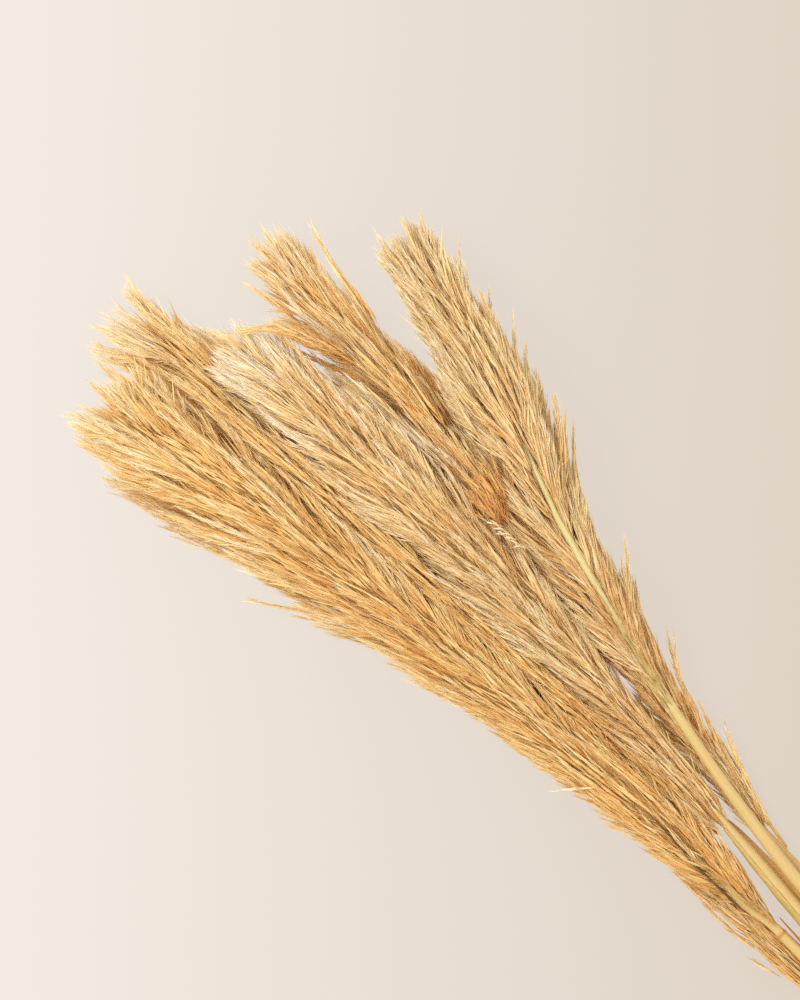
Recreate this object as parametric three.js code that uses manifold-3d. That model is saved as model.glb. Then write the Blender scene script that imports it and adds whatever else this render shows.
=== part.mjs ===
import * as THREE from "three";
import Module from "manifold-3d";
import { mergeVertices } from "three/addons/utils/BufferGeometryUtils.js";

// A bunch of six dried pampas grass plumes lying on a surface, in millimetres.
// +X runs from the cut ends of the stems to the plume tips, +Z is up, the surface is z = 0.
// Three plumes lie on the surface (the "lower" ones) and three rest on top of them (the "upper" ones).

const wasm = await Module();
wasm.setup();

// Driving dimensions.

const bunchMiddle = [158.5, -6.5]; // middle of the bunch's box in the frame the paths below are drawn in
const culmRadius = 4.6;            // a stem with its dried sheath, to the flats of its eight sides
const jointSwell = 0.35;           // how far a stem's joints stand out
const plumeFlatness = 0.68;        // a plume's height over its width
const coreShare = 0.64;            // the packed inner branches, as a share of the plume's width
const seat = 0.3;                  // gap between pieces that touch
const lockWidth = 4.4;             // half width of a lock of branches
const lockThickness = 2.7;         // how far a lock's back stands up
const goldenTurn = 2.399963;

// Each stem and plume: where its middle runs sideways (sway) and in height (rise), how wide the
// plume is on each side of that line (spread), where the plume starts (neck) and ends (tip).
// All are [x, value] pairs.
const bunch = [
  {
    name: "upper_right", seed: 11, cut: -338, neck: 178, tip: 548, neckRadius: 2.3, slim: 170, locks: 84,
    joints: [-236, -62],
    sway: [[-350, 4.75], [-150, 2], [10, -9], [92, -20], [178, -36], [260, -54], [316, -69], [374, -90],
      [450, -112], [520, -128], [552, -136]],
    rise: [[-350, 13.3], [-150, 14.4], [10, 24], [92, 35], [178, 50], [260, 60], [350, 70], [450, 66],
      [552, 46]],
    spread: [[178, 2.5], [200, 14], [240, 25], [300, 31], [360, 38], [420, 39], [480, 34], [530, 29],
      [560, 25]],
    plumeColour: 0xd8b27c, stemColour: 0xd9cf8e,
  },
  {
    name: "lower_right", seed: 23, cut: -350, neck: 40, tip: 618, neckRadius: 2.6, slim: 90, locks: 86,
    joints: [-180, -40],
    sway: [[-350, 0], [-150, -3.5], [0, -15], [40, -17], [120, -27], [224, -40], [346, -54], [433, -58],
      [524, -57], [600, -57], [625, -56]],
    rise: [[-350, 4.6], [-120, 4.6], [0, 7], [40, 9.5], [120, 14], [224, 19.5], [346, 25], [460, 25],
      [625, 20]],
    spread: [[40, 2.8], [60, 10], [100, 16], [160, 22], [224, 28], [300, 34], [380, 37], [440, 37],
      [500, 33], [560, 31], [600, 27], [630, 21]],
    plumeColour: 0xcba062, stemColour: 0xe0c88a,
  },
  {
    name: "upper_middle", seed: 37, cut: -344, neck: 65, tip: 585, neckRadius: 2.8, slim: 90, locks: 104,
    joints: [-262, -96], sheath: [-150, 56],
    sway: [[-350, 14.25], [-150, 12.6], [-20, 8], [65, 1], [107, -4], [180, -8], [255, -9], [412, -5],
      [509, 0], [590, 8]],
    rise: [[-350, 13.3], [-150, 13.6], [-20, 16], [65, 24], [107, 30], [180, 42], [255, 54], [412, 73],
      [509, 72], [590, 64]],
    spread: [[65, 3], [90, 11], [130, 16], [200, 23], [300, 31], [400, 36], [480, 34], [550, 29],
      [600, 23]],
    plumeColour: 0xdfbd8a, stemColour: 0xe6d6a4,
  },
  {
    name: "lower_middle", seed: 41, cut: -332, neck: 94, tip: 645, neckRadius: 2.6, slim: 80, locks: 78,
    joints: [-206, -30],
    sway: [[-350, 9.5], [-150, 7], [0, -1], [60, -2], [110, 6], [170, 13], [229, 16], [387, 21],
      [480, 27], [535, 31], [620, 40], [655, 45]],
    rise: [[-350, 4.6], [-60, 4.6], [60, 6], [110, 10], [229, 19], [387, 26], [535, 27], [655, 23]],
    spread: [[94, 2.8], [120, 11], [160, 17], [229, 24], [320, 33], [400, 40], [500, 42], [600, 41],
      [640, 34], [660, 26]],
    plumeColour: 0xd6ae74, stemColour: 0xd2a05c,
  },
  {
    name: "upper_left", seed: 53, cut: -350, neck: -4, tip: 616, neckRadius: 4, slim: 30, locks: 108,
    joints: [-190, -12],
    sway: [[-350, 23.75], [-150, 25], [-4, 27], [28, 26], [66, 28], [110, 32], [198, 42], [346, 59],
      [480, 79], [560, 92], [625, 104]],
    rise: [[-350, 13.3], [-305, 14.45], [-150, 15.5], [-4, 23], [66, 29], [198, 47], [346, 68],
      [440, 73], [524, 72], [625, 64]],
    spread: [[-4, 4.2], [28, 11], [48, 17], [70, 21], [110, 23], [198, 25], [300, 30], [400, 37],
      [500, 41], [580, 38], [625, 30]],
    plumeColour: 0xdcb574, stemColour: 0xe8d79a,
  },
  {
    name: "lower_left", seed: 67, cut: -340, neck: -88, tip: 570, neckRadius: 3, slim: 70, locks: 92,
    joints: [-290, -130],
    sway: [[-350, 19], [-200, 24], [-90, 34], [0, 39], [56, 41], [188, 49], [300, 62], [400, 84],
      [480, 98], [540, 112], [590, 123]],
    rise: [[-350, 4.6], [-180, 4.6], [-90, 6.5], [0, 9.5], [56, 11], [188, 14], [300, 18], [400, 22],
      [480, 24], [590, 20]],
    spread: [[-88, 3.2], [-50, 9], [0, 12], [100, 13], [188, 19], [300, 25], [400, 31], [480, 32],
      [540, 31], [590, 25]],
    plumeColour: 0xd0a468, stemColour: 0xe3cd8f,
  },
];

// Two plumes show their stem running on along their backs, with the branches parted round it.
// lift and shift place it above and to the left of the plume's middle.
const openRachises = [
  {
    plume: "upper_right", end: 372, rootRadius: 2.3, endRadius: 1.1, lift: 0.72, shift: 0, parting: 0.42,
    step: 26,
  },
  {
    plume: "upper_left", end: 64, rootRadius: 3.8, endRadius: 2.4, lift: 0.72, shift: 4.4, parting: 0.5,
    step: 13,
  },
];

// A dead, red-brown leaf that clings to the upper left stem and stands free at its blunt tip.
const leaf = { stem: "upper_left", foot: -168, tip: -2, halfWidth: 2.6, halfThickness: 0.5, freeFrom: -90 };

// Small helpers.

// A smooth curve through hand-set pairs that never swings past them.
function along(pairs, x) {
  const last = pairs.length - 1;
  if (x <= pairs[0][0]) return pairs[0][1];
  if (x >= pairs[last][0]) return pairs[last][1];
  const grade = (k) => (pairs[k + 1][1] - pairs[k][1]) / (pairs[k + 1][0] - pairs[k][0]);
  const slope = (k) => {
    if (k === 0) return grade(0);
    if (k === last) return grade(last - 1);
    const before = grade(k - 1);
    const after = grade(k);
    return before * after <= 0 ? 0 : (2 * before * after) / (before + after);
  };
  let i = 0;
  while (x > pairs[i + 1][0]) i += 1;
  const run = pairs[i + 1][0] - pairs[i][0];
  const t = (x - pairs[i][0]) / run;
  const u = 1 - t;
  return pairs[i][1] * u * u * (1 + 2 * t) + pairs[i + 1][1] * t * t * (3 - 2 * t)
    + run * t * u * (slope(i) * u - slope(i + 1) * t);
}

// Repeatable random draws between 0 and 1.
function dice(seed) {
  let state = seed >>> 0;
  return () => {
    state = (state + 0x6d2b79f5) >>> 0;
    let t = Math.imul(state ^ (state >>> 15), state | 1);
    t ^= t + Math.imul(t ^ (t >>> 7), t | 61);
    return ((t ^ (t >>> 14)) >>> 0) / 4294967296;
  };
}

const byName = (name) => bunch.find((one) => one.name === name);

function stemRadius(one, x) {
  const share = THREE.MathUtils.clamp((one.neck - x) / one.slim, 0, 1);
  return one.neckRadius + (culmRadius - one.neckRadius) * share * (2 - share);
}

// The plume's oval at a place along it, or the stem's circle below the neck.
function section(one, x) {
  const y = along(one.sway, x);
  const z = along(one.rise, x);
  if (x < one.cut || x > one.tip + 32) return null;
  if (x < one.neck) return { y, z, a: stemRadius(one, x) * 1.08, b: stemRadius(one, x) * 1.08, stem: true };
  const a = along(one.spread, x);
  return { y, z, a, b: Math.max(a * plumeFlatness, Math.min(a, 2.2)), stem: false };
}

const rachisOf = (one) => openRachises.find((rachis) => rachis.plume === one.name);

// The open rachis, lying in the back of its plume.
function rachisSection(one, x) {
  const rachis = rachisOf(one);
  if (!rachis || x < one.neck || x > rachis.end) return null;
  const share = (x - one.neck) / (rachis.end - one.neck);
  const oval = section(one, x);
  const r = rachis.rootRadius + (rachis.endRadius - rachis.rootRadius) * share;
  const ramp = Math.min(1, share * 4);
  const y = oval.y + rachis.shift * ramp;
  const z = oval.z + rachis.lift * oval.b * ramp;
  return { y, z, a: r, b: r, stem: true };
}

// Signed distance from an oval, negative inside.
function depth(oval, y, z) {
  const reach = Math.hypot((y - oval.y) / oval.a, (z - oval.z) / oval.b);
  return (reach - 1) * Math.sqrt(oval.a * oval.b);
}

// Draw a point of a plume in until it is clear of every other plume and stem, and off the surface.
function settle(own, x, y, z, margin = 1.2) {
  const home = section(own, x);
  const others = bunch.filter((one) => one !== own).map((one) => section(one, x));
  others.push(rachisSection(own, x));
  const near = others.filter((oval) => oval !== null);
  for (let turn = 0; turn < 60; turn += 1) {
    const mine = depth(home, y, z);
    const free = near.every((oval) => {
      const theirs = depth(oval, y, z);
      return oval.stem ? theirs > margin * 0.75 : theirs > mine + margin;
    });
    if (free) break;
    y += (home.y - y) * 0.06;
    z += (home.z - z) * 0.06;
  }
  return new THREE.Vector3(x, y, Math.max(z, 0));
}

// Meshes and joins.

function meshFrom(points, faces) {
  const geometry = new THREE.BufferGeometry();
  const places = points.flatMap((p) => [p.x, p.y, p.z]);
  geometry.setAttribute("position", new THREE.Float32BufferAttribute(places, 3));
  geometry.setIndex(faces);
  return geometry;
}

// Skin a run of rings that have the same number of points, first ring facing back, last facing on.
function loft(rings) {
  const sides = rings[0].length;
  const points = rings.flat();
  const faces = [];
  for (let r = 0; r + 1 < rings.length; r += 1) {
    for (let k = 0; k < sides; k += 1) {
      const a = r * sides + k;
      const b = r * sides + ((k + 1) % sides);
      faces.push(a, b, b + sides, a, b + sides, a + sides);
    }
  }
  const end = (rings.length - 1) * sides;
  for (let k = 1; k + 1 < sides; k += 1) {
    faces.push(0, k + 1, k);
    faces.push(end, end + k, end + k + 1);
  }
  return meshFrom(points, faces);
}

function toSolid(geometry) {
  const clean = geometry.clone();
  clean.deleteAttribute("normal");
  clean.deleteAttribute("uv");
  const welded = mergeVertices(clean, 1e-4);
  const mesh = new wasm.Mesh({
    numProp: 3,
    vertProperties: new Float32Array(welded.attributes.position.array),
    triVerts: new Uint32Array(welded.index.array),
  });
  return new wasm.Manifold(mesh);
}

function fromSolid(solid) {
  const mesh = solid.getMesh();
  const geometry = new THREE.BufferGeometry();
  geometry.setAttribute("position", new THREE.Float32BufferAttribute(mesh.vertProperties, 3));
  geometry.setIndex([...mesh.triVerts]);
  return geometry;
}

// Join many small solids two by two.
function joinAll(solids) {
  let row = solids;
  while (row.length > 1) {
    const next = [];
    for (let i = 0; i < row.length; i += 2) {
      next.push(i + 1 < row.length ? row[i].add(row[i + 1]) : row[i]);
    }
    row = next;
  }
  return row[0];
}

// Stems.

// Eight-sided ring with a flat side down.
function octagon(x, y, z, radius, ridge = 0) {
  const ring = [];
  for (let k = 0; k < 8; k += 1) {
    const angle = (k + 0.5) * Math.PI / 4;
    const reach = (radius + (k === 0 || k === 7 ? ridge : 0)) / Math.cos(Math.PI / 8);
    ring.push(new THREE.Vector3(x, y + reach * Math.cos(angle), Math.max(0, z + reach * Math.sin(angle))));
  }
  return ring;
}

function stemGeometry(one) {
  const stops = [];
  const end = one.neck - seat / 2;
  for (let x = one.cut; x < end - 20; x += 42) stops.push(x);
  stops.push(end);
  for (const joint of one.joints) stops.push(joint - 5, joint - 1.5, joint + 1.5, joint + 5);
  stops.sort((a, b) => a - b);
  const isSwollen = (x) => one.joints.some((joint) => Math.abs(x - joint) < 2);
  const rings = stops.filter((x, i) => i === 0 || x - stops[i - 1] > 1.2).map((x) => {
    const sheathed = one.sheath && x > one.sheath[0] && x < one.sheath[1];
    const radius = stemRadius(one, x) + (isSwollen(x) ? jointSwell : 0);
    return octagon(x, along(one.sway, x), along(one.rise, x), radius, sheathed ? 1.7 : 0);
  });
  if (rachisOf(one)) rings.push(...rachisRings(one, 0));
  return loft(rings);
}

function rachisRings(one, spare) {
  const rachis = rachisOf(one);
  const rings = [];
  for (let x = one.neck + rachis.step / 2; x <= rachis.end; x += rachis.step) {
    const oval = rachisSection(one, x);
    rings.push(octagon(x, oval.y, oval.z, oval.a + spare));
  }
  return rings;
}

// The room the open rachis takes up in its plume.
function rachisRoom(one) {
  const x = one.neck - 2;
  const first = octagon(x, along(one.sway, x), along(one.rise, x), one.neckRadius + seat);
  const rings = rachisRings(one, seat);
  const last = rings[rings.length - 1].map((p) => p.clone().setX(p.x + seat));
  return toSolid(loft([first, ...rings, last]));
}

// Plumes.

// The packed inner branches: a tapering, ridged spindle well inside the plume.
function coreGeometry(one) {
  const sides = 10;
  const start = one.neck + seat / 2;
  const end = one.tip - 14;
  const count = Math.round((end - start) / 36);
  const rings = [];
  for (let i = 0; i <= count; i += 1) {
    const x = start + (end - start) * (i / count);
    const oval = section(one, x);
    const full = coreShare + 0.1 * THREE.MathUtils.clamp((x - one.tip + 170) / 90, 0, 1);
    const share = i === 0 ? 0.9 : full * (i === count ? 0.3 : 1);
    const ring = [];
    for (let k = 0; k < sides; k += 1) {
      const angle = (k + 0.3 * i) * 2 * Math.PI / sides;
      const ridge = i > 0 && (k + i) % 2 === 0 ? 0.8 : 1.04;
      const y = oval.y + oval.a * share * ridge * Math.cos(angle);
      const z = oval.z + oval.b * share * ridge * Math.sin(angle);
      ring.push(settle(one, x, y, z, 1.6));
    }
    rings.push(ring);
  }
  return loft(rings);
}

// One pointed lock of branches: rooted in the core, bent over near the plume's surface.
function lockGeometry(one, root, length, angle, twist, reach, width) {
  const place = (x, turn, share, margin) => {
    const oval = section(one, Math.min(x, one.tip + 30));
    const y = oval.y + oval.a * share * Math.cos(turn);
    const z = oval.z + oval.b * share * Math.sin(turn);
    return settle(one, Math.min(x, one.tip + 30), y, z, margin);
  };
  const foot = place(root, angle, 0.22, 2.5);
  const bend = place(root + length * 0.5, angle + twist * 0.5, reach * 0.9, 1.4);
  const point = place(root + length, angle + twist, reach * 1.03, 0.8);
  const oval = section(one, bend.x);
  const out = new THREE.Vector3(0, bend.y - oval.y, bend.z - oval.z).normalize();
  const run = point.clone().sub(foot).normalize();
  const side = new THREE.Vector3().crossVectors(run, out).normalize();
  const back = new THREE.Vector3().crossVectors(side, run).normalize();
  const clear = (p) => settle(one, p.x, p.y, p.z, 0.7);
  const ring = [
    clear(bend.clone().addScaledVector(back, lockThickness)),
    clear(bend.clone().addScaledVector(side, width).addScaledVector(back, -0.5 * lockThickness)),
    clear(bend.clone().addScaledVector(side, -width).addScaledVector(back, -0.5 * lockThickness)),
  ];
  const points = [foot, ...ring, point];
  const faces = [0, 2, 1, 0, 3, 2, 0, 1, 3, 4, 1, 2, 4, 2, 3, 4, 3, 1];
  return meshFrom(points, faces);
}

// Turn a lock away from the top of the plume where the rachis lies open.
function parted(one, x, angle) {
  const rachis = rachisOf(one);
  if (!rachis || x > rachis.end - 30) return angle;
  const fromTop = Math.atan2(Math.sin(angle - Math.PI / 2), Math.cos(angle - Math.PI / 2));
  if (Math.abs(fromTop) > rachis.parting) return angle;
  return Math.PI / 2 + Math.sign(fromTop) * rachis.parting;
}

function plumeGeometry(one) {
  const draw = dice(one.seed);
  const solids = [toSolid(coreGeometry(one))];
  const span = one.tip - one.neck;
  const crown = Math.round(one.locks * 0.14);
  for (let i = 0; i < one.locks; i += 1) {
    const inCrown = i >= one.locks - crown;
    const share = inCrown ? 1 : (i + draw()) / (one.locks - crown);
    const root = inCrown ? one.tip - 62 + 26 * draw() : one.neck + 3 + (span - 76) * share;
    const wide = along(one.spread, root + 40) / 36;
    const length = inCrown ? 40 + 26 * draw() : (58 + 44 * draw()) * (0.62 + 0.38 * wide);
    const angle = parted(one, root, i * goldenTurn + 0.5 * (draw() - 0.5));
    const twist = 0.5 * (draw() - 0.5);
    const reach = inCrown ? 0.3 + 0.8 * Math.sqrt(draw()) : 0.84 + 0.2 * draw();
    const width = lockWidth * (0.75 + 0.5 * draw()) * (0.55 + 0.45 * Math.min(1, wide));
    solids.push(toSolid(lockGeometry(one, root, length, angle, twist, reach, width)));
  }
  const whole = joinAll(solids);
  if (!rachisOf(one)) return fromSolid(whole);
  const pieces = whole.subtract(rachisRoom(one)).decompose();
  pieces.sort((a, b) => b.volume() - a.volume());
  return fromSolid(pieces[0]);
}

// Dead leaf.

// A thin blade lying on one flat side of its stem, lifting away towards its tip.
function leafGeometry() {
  const one = byName(leaf.stem);
  const rings = [];
  const count = 8;
  for (let i = 0; i <= count; i += 1) {
    const share = i / count;
    const x = leaf.foot + (leaf.tip - leaf.foot) * share;
    const free = Math.max(0, (x - leaf.freeFrom) / (leaf.tip - leaf.freeFrom));
    const off = stemRadius(one, x) + seat + leaf.halfThickness + 3.4 * free * free;
    const turn = THREE.MathUtils.degToRad(135 + 22 * free);
    const middle = new THREE.Vector3(x, along(one.sway, x), along(one.rise, x));
    middle.add(new THREE.Vector3(0, off * Math.cos(turn), off * Math.sin(turn)));
    const across = new THREE.Vector3(0, Math.sin(turn), -Math.cos(turn));
    const through = new THREE.Vector3(0, Math.cos(turn), Math.sin(turn));
    const taper = 1 - 0.55 * Math.max(0, share - 0.7) / 0.3;
    const half = leaf.halfWidth * (share < 0.2 ? 0.7 + 1.5 * share : taper);
    rings.push([
      middle.clone().addScaledVector(across, half),
      middle.clone().addScaledVector(through, leaf.halfThickness),
      middle.clone().addScaledVector(across, -half),
      middle.clone().addScaledVector(through, -leaf.halfThickness),
    ]);
  }
  return loft(rings);
}

// The bunch.

function addPiece(group, name, geometry, colour, roughness) {
  geometry.translate(-bunchMiddle[0], -bunchMiddle[1], 0);
  const flat = geometry.toNonIndexed();
  flat.computeVertexNormals();
  const material = new THREE.MeshStandardMaterial({ color: colour, roughness, metalness: 0 });
  const mesh = new THREE.Mesh(flat, material);
  mesh.name = name;
  group.add(mesh);
}

const group = new THREE.Group();
group.name = "pampas_grass_bunch";
for (const one of bunch) {
  addPiece(group, `${one.name}_stem`, stemGeometry(one), one.stemColour, 0.55);
  addPiece(group, `${one.name}_plume`, plumeGeometry(one), one.plumeColour, 0.9);
}

addPiece(group, `${leaf.stem}_leaf`, leafGeometry(), 0xa56a3e, 0.7);

export default group;
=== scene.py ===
import math

import bpy
import numpy as np
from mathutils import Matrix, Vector


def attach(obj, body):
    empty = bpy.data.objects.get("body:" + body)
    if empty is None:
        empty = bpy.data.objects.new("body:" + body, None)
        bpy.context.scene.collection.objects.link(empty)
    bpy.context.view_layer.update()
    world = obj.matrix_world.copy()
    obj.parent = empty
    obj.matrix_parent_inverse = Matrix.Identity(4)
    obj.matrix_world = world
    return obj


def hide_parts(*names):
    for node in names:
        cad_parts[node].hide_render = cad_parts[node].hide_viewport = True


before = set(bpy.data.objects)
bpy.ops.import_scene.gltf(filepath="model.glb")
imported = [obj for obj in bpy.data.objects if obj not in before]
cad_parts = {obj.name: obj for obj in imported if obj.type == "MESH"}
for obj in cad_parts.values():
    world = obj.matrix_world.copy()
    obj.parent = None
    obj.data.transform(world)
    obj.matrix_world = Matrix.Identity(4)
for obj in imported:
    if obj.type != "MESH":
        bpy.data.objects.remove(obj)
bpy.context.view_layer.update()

# A bunch of six dried pampas plumes lying on a pale floor. The paths are drawn in millimetres and
# moved to the frame by toRow(). Three plumes lie on the floor and three rest on them.

mm = 0.001
bunchMiddle = np.array([158.5, -6.5, 0.0])
goldenTurn = 2.399963
plumeFlatness = 0.68
culmRadius = 4.6
pathShares = np.linspace(0, 1, 7)
lookAhead = 40  # a lock is sized by the plume's width this far beyond its root
coverStem = 1.03  # a cane is this much thicker than its solid


def along(pairs, x):
    # smooth curve through given pairs that never swings past them
    xs, ys = np.array(pairs, float).T
    grade = np.diff(ys) / np.diff(xs)
    slope = np.concatenate([grade[:1], np.zeros(len(xs) - 2), grade[-1:]])
    before, after = grade[:-1], grade[1:]
    total = np.where(before + after == 0, 1, before + after)
    slope[1:-1] = np.where(before * after <= 0, 0, 2 * before * after / total)
    x = np.clip(np.asarray(x, float), xs[0], xs[-1])
    i = np.clip(np.searchsorted(xs, x) - 1, 0, len(xs) - 2)
    run = xs[i + 1] - xs[i]
    t = (x - xs[i]) / run
    u = 1 - t
    return (ys[i] * u * u * (1 + 2 * t) + ys[i + 1] * t * t * (3 - 2 * t)
            + run * t * u * (slope[i] * u - slope[i + 1] * t))


def dice(seed):
    # the same repeatable draws as the solids use
    state = [seed & 0xffffffff]

    def draw():
        state[0] = (state[0] + 0x6d2b79f5) & 0xffffffff
        s = state[0]
        t = ((s ^ (s >> 15)) * (s | 1)) & 0xffffffff
        t ^= (t + (((t ^ (t >> 7)) * (t | 61)) & 0xffffffff)) & 0xffffffff
        return ((t ^ (t >> 14)) & 0xffffffff) / 4294967296
    return draw


def toRow(points):
    return (np.asarray(points, float) - bunchMiddle) * mm


# Stalks: sway and rise give the middle line, spread the plume's half width.

upperRight = {
    "node": "upper_right", "seed": 11, "cut": -338, "neck": 178, "tip": 548, "neckRadius": 2.3,
    "slim": 170, "locks": 84, "joints": [-236, -62],
    "sway": [[-350, 4.75], [-150, 2], [10, -9], [92, -20], [178, -36], [260, -54], [316, -69],
             [374, -90], [450, -112], [520, -128], [552, -136]],
    "rise": [[-350, 13.3], [-150, 14.4], [10, 24], [92, 35], [178, 50], [260, 60], [350, 70],
             [450, 66], [552, 46]],
    "spread": [[178, 2.5], [200, 14], [240, 25], [300, 31], [360, 38], [420, 39], [480, 34],
               [530, 29], [560, 25]],
    "rachis": {"end": 372, "rootRadius": 2.3, "endRadius": 1.1, "lift": 0.72, "shift": 0, "parting": 0.42,
               "root": 2.7, "fade": 5.0, "dive": 5, "diveRate": 4, "covered": 4, "groove": 0.2},
    "branches": 4.4, "toneShift": 0.0, "over": 4, "round": 6, "teeth": -1, "collars": [163], "green": 1.0,
    "veils": [{"low": 150, "high": 262, "side": 0, "count": 54, "fan": 7.5},
              {"low": 162, "high": 244, "side": 0, "count": 44, "fan": 2.4}], "paleTip": 0.12,
    "hollows": [(1, 500, 56, 0.25), (1, 520, 18, 0.1), (-1, 440, 60, 0.16), (-1, 545, 60, 0.16),
                (-1, 300, 42, 0.34)], "slant": 0.3,
}
lowerRight = {
    "node": "lower_right", "seed": 23, "cut": -350, "neck": 40, "tip": 618, "neckRadius": 2.6,
    "slim": 90, "locks": 86, "joints": [-180, -40],
    "sway": [[-350, 0], [-150, -3.5], [0, -15], [40, -17], [120, -27], [224, -40], [346, -54],
             [433, -58], [524, -57], [600, -57], [625, -56]],
    "rise": [[-350, 4.6], [-120, 4.6], [0, 7], [40, 9.5], [120, 14], [224, 19.5], [346, 25],
             [460, 25], [625, 20]],
    "spread": [[40, 2.8], [60, 10], [100, 16], [160, 22], [224, 28], [300, 34], [380, 37],
               [440, 37], [500, 33], [560, 31], [600, 27], [630, 21]],
    "branches": 3.9, "toneShift": 0.0, "over": 5, "round": 18, "teeth": 1,
    "hollows": [(1, 528, 14, 0.2), (1, 492, 26, 0.28), (1, 588, 30, 0.48), (1, 196, 28, 0.5), (1, 90, 34, 0.4),
                (-1, 105, 40, 0.12), (-1, 520, 90, 0.27), (-1, 452, 22, 0.1)], "slant": 0.3,
    "paleTip": 0.28, "footTone": 0.72, "footLoose": 0.9,
    "fills": [{"line": [(270, -36, 60), (320, -42, 66), (374, -47, 70), (420, -52, 66), (460, -57, 58),
                        (505, -57, 50)], "half": 10, "count": 90},
              {"line": [(336, -44, 76), (356, -48, 80), (378, -51, 78)], "half": 14, "count": 60, "length": 30,
               "tone": 0.22, "loose": 1.7, "size": 0.75, "up": 2, "before": 4}],
}
upperMiddle = {
    "node": "upper_middle", "seed": 37, "cut": -344, "neck": 65, "tip": 585, "neckRadius": 2.8,
    "slim": 90, "locks": 104, "joints": [-262, -96],
    "sway": [[-350, 14.25], [-150, 12.6], [-20, 8], [65, 1], [107, -4], [180, -8], [255, -9],
             [412, -5], [509, 0], [590, 8]],
    "rise": [[-350, 13.3], [-150, 13.6], [-20, 16], [65, 24], [107, 30], [180, 42], [255, 54],
             [412, 73], [509, 72], [590, 64]],
    "spread": [[65, 3], [90, 11], [130, 16], [200, 23], [300, 31], [400, 36], [480, 34],
               [550, 29], [600, 23]],
    "branches": 4.0, "toneShift": 0.02, "over": -3, "round": 18, "teeth": 0,
    "hollows": [(-1, 495, 30, 0.16), (-1, 178, 54, 0.55), (-1, 138, 26, 0.24), (-1, 100, 26, 0.3)],
    "paleTip": 0.36, "stout": 1.3, "bow": -1.3, "green": 0.1,
    "fills": [{"line": [(396, -41, 72), (440, -38, 70), (480, -33, 62), (512, -28, 52)], "half": 5, "count": 38,
               "length": 58, "tone": 0.74}],
}
lowerMiddle = {
    "node": "lower_middle", "seed": 41, "cut": -332, "neck": 94, "tip": 645, "neckRadius": 2.6,
    "slim": 80, "locks": 78, "joints": [-206, -30],
    "sway": [[-350, 9.5], [-150, 7], [0, -1], [60, -2], [110, 6], [170, 13], [229, 16],
             [387, 21], [480, 27], [535, 31], [620, 40], [655, 45]],
    "rise": [[-350, 4.6], [-60, 4.6], [60, 6], [110, 10], [229, 19], [387, 26], [535, 27],
             [655, 23]],
    "spread": [[94, 2.8], [120, 11], [160, 17], [229, 24], [320, 33], [400, 40], [500, 42],
               [600, 41], [640, 34], [660, 26]],
    "branches": 4.4, "toneShift": 0.0, "over": 24, "round": 24, "teeth": 0, "paleTip": 0.3,
    "hollows": [(-1, 622, 42, 0.6), (1, 640, 26, -0.12)],
    "fills": [{"line": [(100, 9, 34), (160, 12, 45), (220, 17, 57), (300, 24, 71), (380, 29, 80), (440, 32, 82),
                        (500, 38, 76), (540, 42, 66), (585, 46, 54)], "half": 8, "count": 120},
              {"line": [(540, 60, 52), (580, 68, 54), (616, 76, 48)], "half": 10, "count": 20}],
}
upperLeft = {
    "node": "upper_left", "seed": 53, "cut": -350, "neck": -4, "tip": 616, "neckRadius": 4,
    "slim": 30, "locks": 108, "joints": [-190, -12],
    "sway": [[-350, 23.75], [-150, 25], [-4, 27], [28, 26], [66, 28], [110, 32], [198, 42],
             [346, 59], [480, 79], [560, 92], [625, 104]],
    "rise": [[-350, 13.3], [-305, 14.45], [-150, 15.5], [-4, 23], [66, 29], [198, 47],
             [346, 68], [440, 73], [524, 72], [625, 64]],
    "spread": [[-4, 4.2], [28, 11], [48, 17], [70, 21], [110, 23], [198, 25], [300, 30],
               [400, 37], [500, 41], [580, 38], [625, 30]],
    "rachis": {"end": 64, "rootRadius": 3.8, "endRadius": 2.4, "lift": 0.72, "shift": 4.4, "parting": 0.5,
               "root": 3.1, "fade": 5.0, "dive": 17, "diveRate": 2.2, "covered": -52, "groove": 0.42},
    "veils": [{"low": -14, "high": 40, "side": -1, "count": 18, "fan": 7.5}],
    # a seam of dark strands: painted shade in the groove between tufts
    "seams": [{"line": [(2, 31.6, 30), (28, 34.3, 37.5), (60, 35.6, 42.5), (85, 34.4, 46), (114, 33.0, 49)],
               "half": 0.8, "count": 12, "length": 36, "tone": 0.2, "loose": 0.14, "size": 0.8,
               "deep": 1.5, "before": 0}],
    "branches": 4.0, "toneShift": 0.03, "over": 7, "round": 14, "hollows": [], "teeth": 0, "paleTip": 0.15,
    "green": 0.05,
}
lowerLeft = {
    "node": "lower_left", "seed": 67, "cut": -340, "neck": -88, "tip": 570, "neckRadius": 3,
    "slim": 70, "locks": 92, "joints": [-290, -130],
    "sway": [[-350, 19], [-200, 24], [-90, 34], [0, 39], [56, 41], [188, 49], [300, 62],
             [400, 84], [480, 98], [540, 112], [590, 123]],
    "rise": [[-350, 4.6], [-180, 4.6], [-90, 6.5], [0, 9.5], [56, 11], [188, 14], [300, 18],
             [400, 22], [480, 24], [590, 20]],
    "spread": [[-88, 3.2], [-50, 9], [0, 12], [100, 13], [188, 19], [300, 25], [400, 31],
               [480, 32], [540, 31], [590, 25]],
    "branches": 3.9, "toneShift": -0.02, "over": 11, "round": 14, "teeth": 1,
    "hollows": [(1, 360, 70, 0.2), (1, 125, 55, 0.4), (1, 22, 34, 0.3), (1, 522, 50, 0.1)], "paleTip": 0.1,
}
bunch = [upperRight, lowerRight, upperMiddle, lowerMiddle, upperLeft, lowerLeft]


def stemRadius(one, x):
    share = np.clip((one["neck"] - np.asarray(x, float)) / one["slim"], 0, 1)
    return one["neckRadius"] + (culmRadius - one["neckRadius"]) * share * (2 - share)


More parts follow.
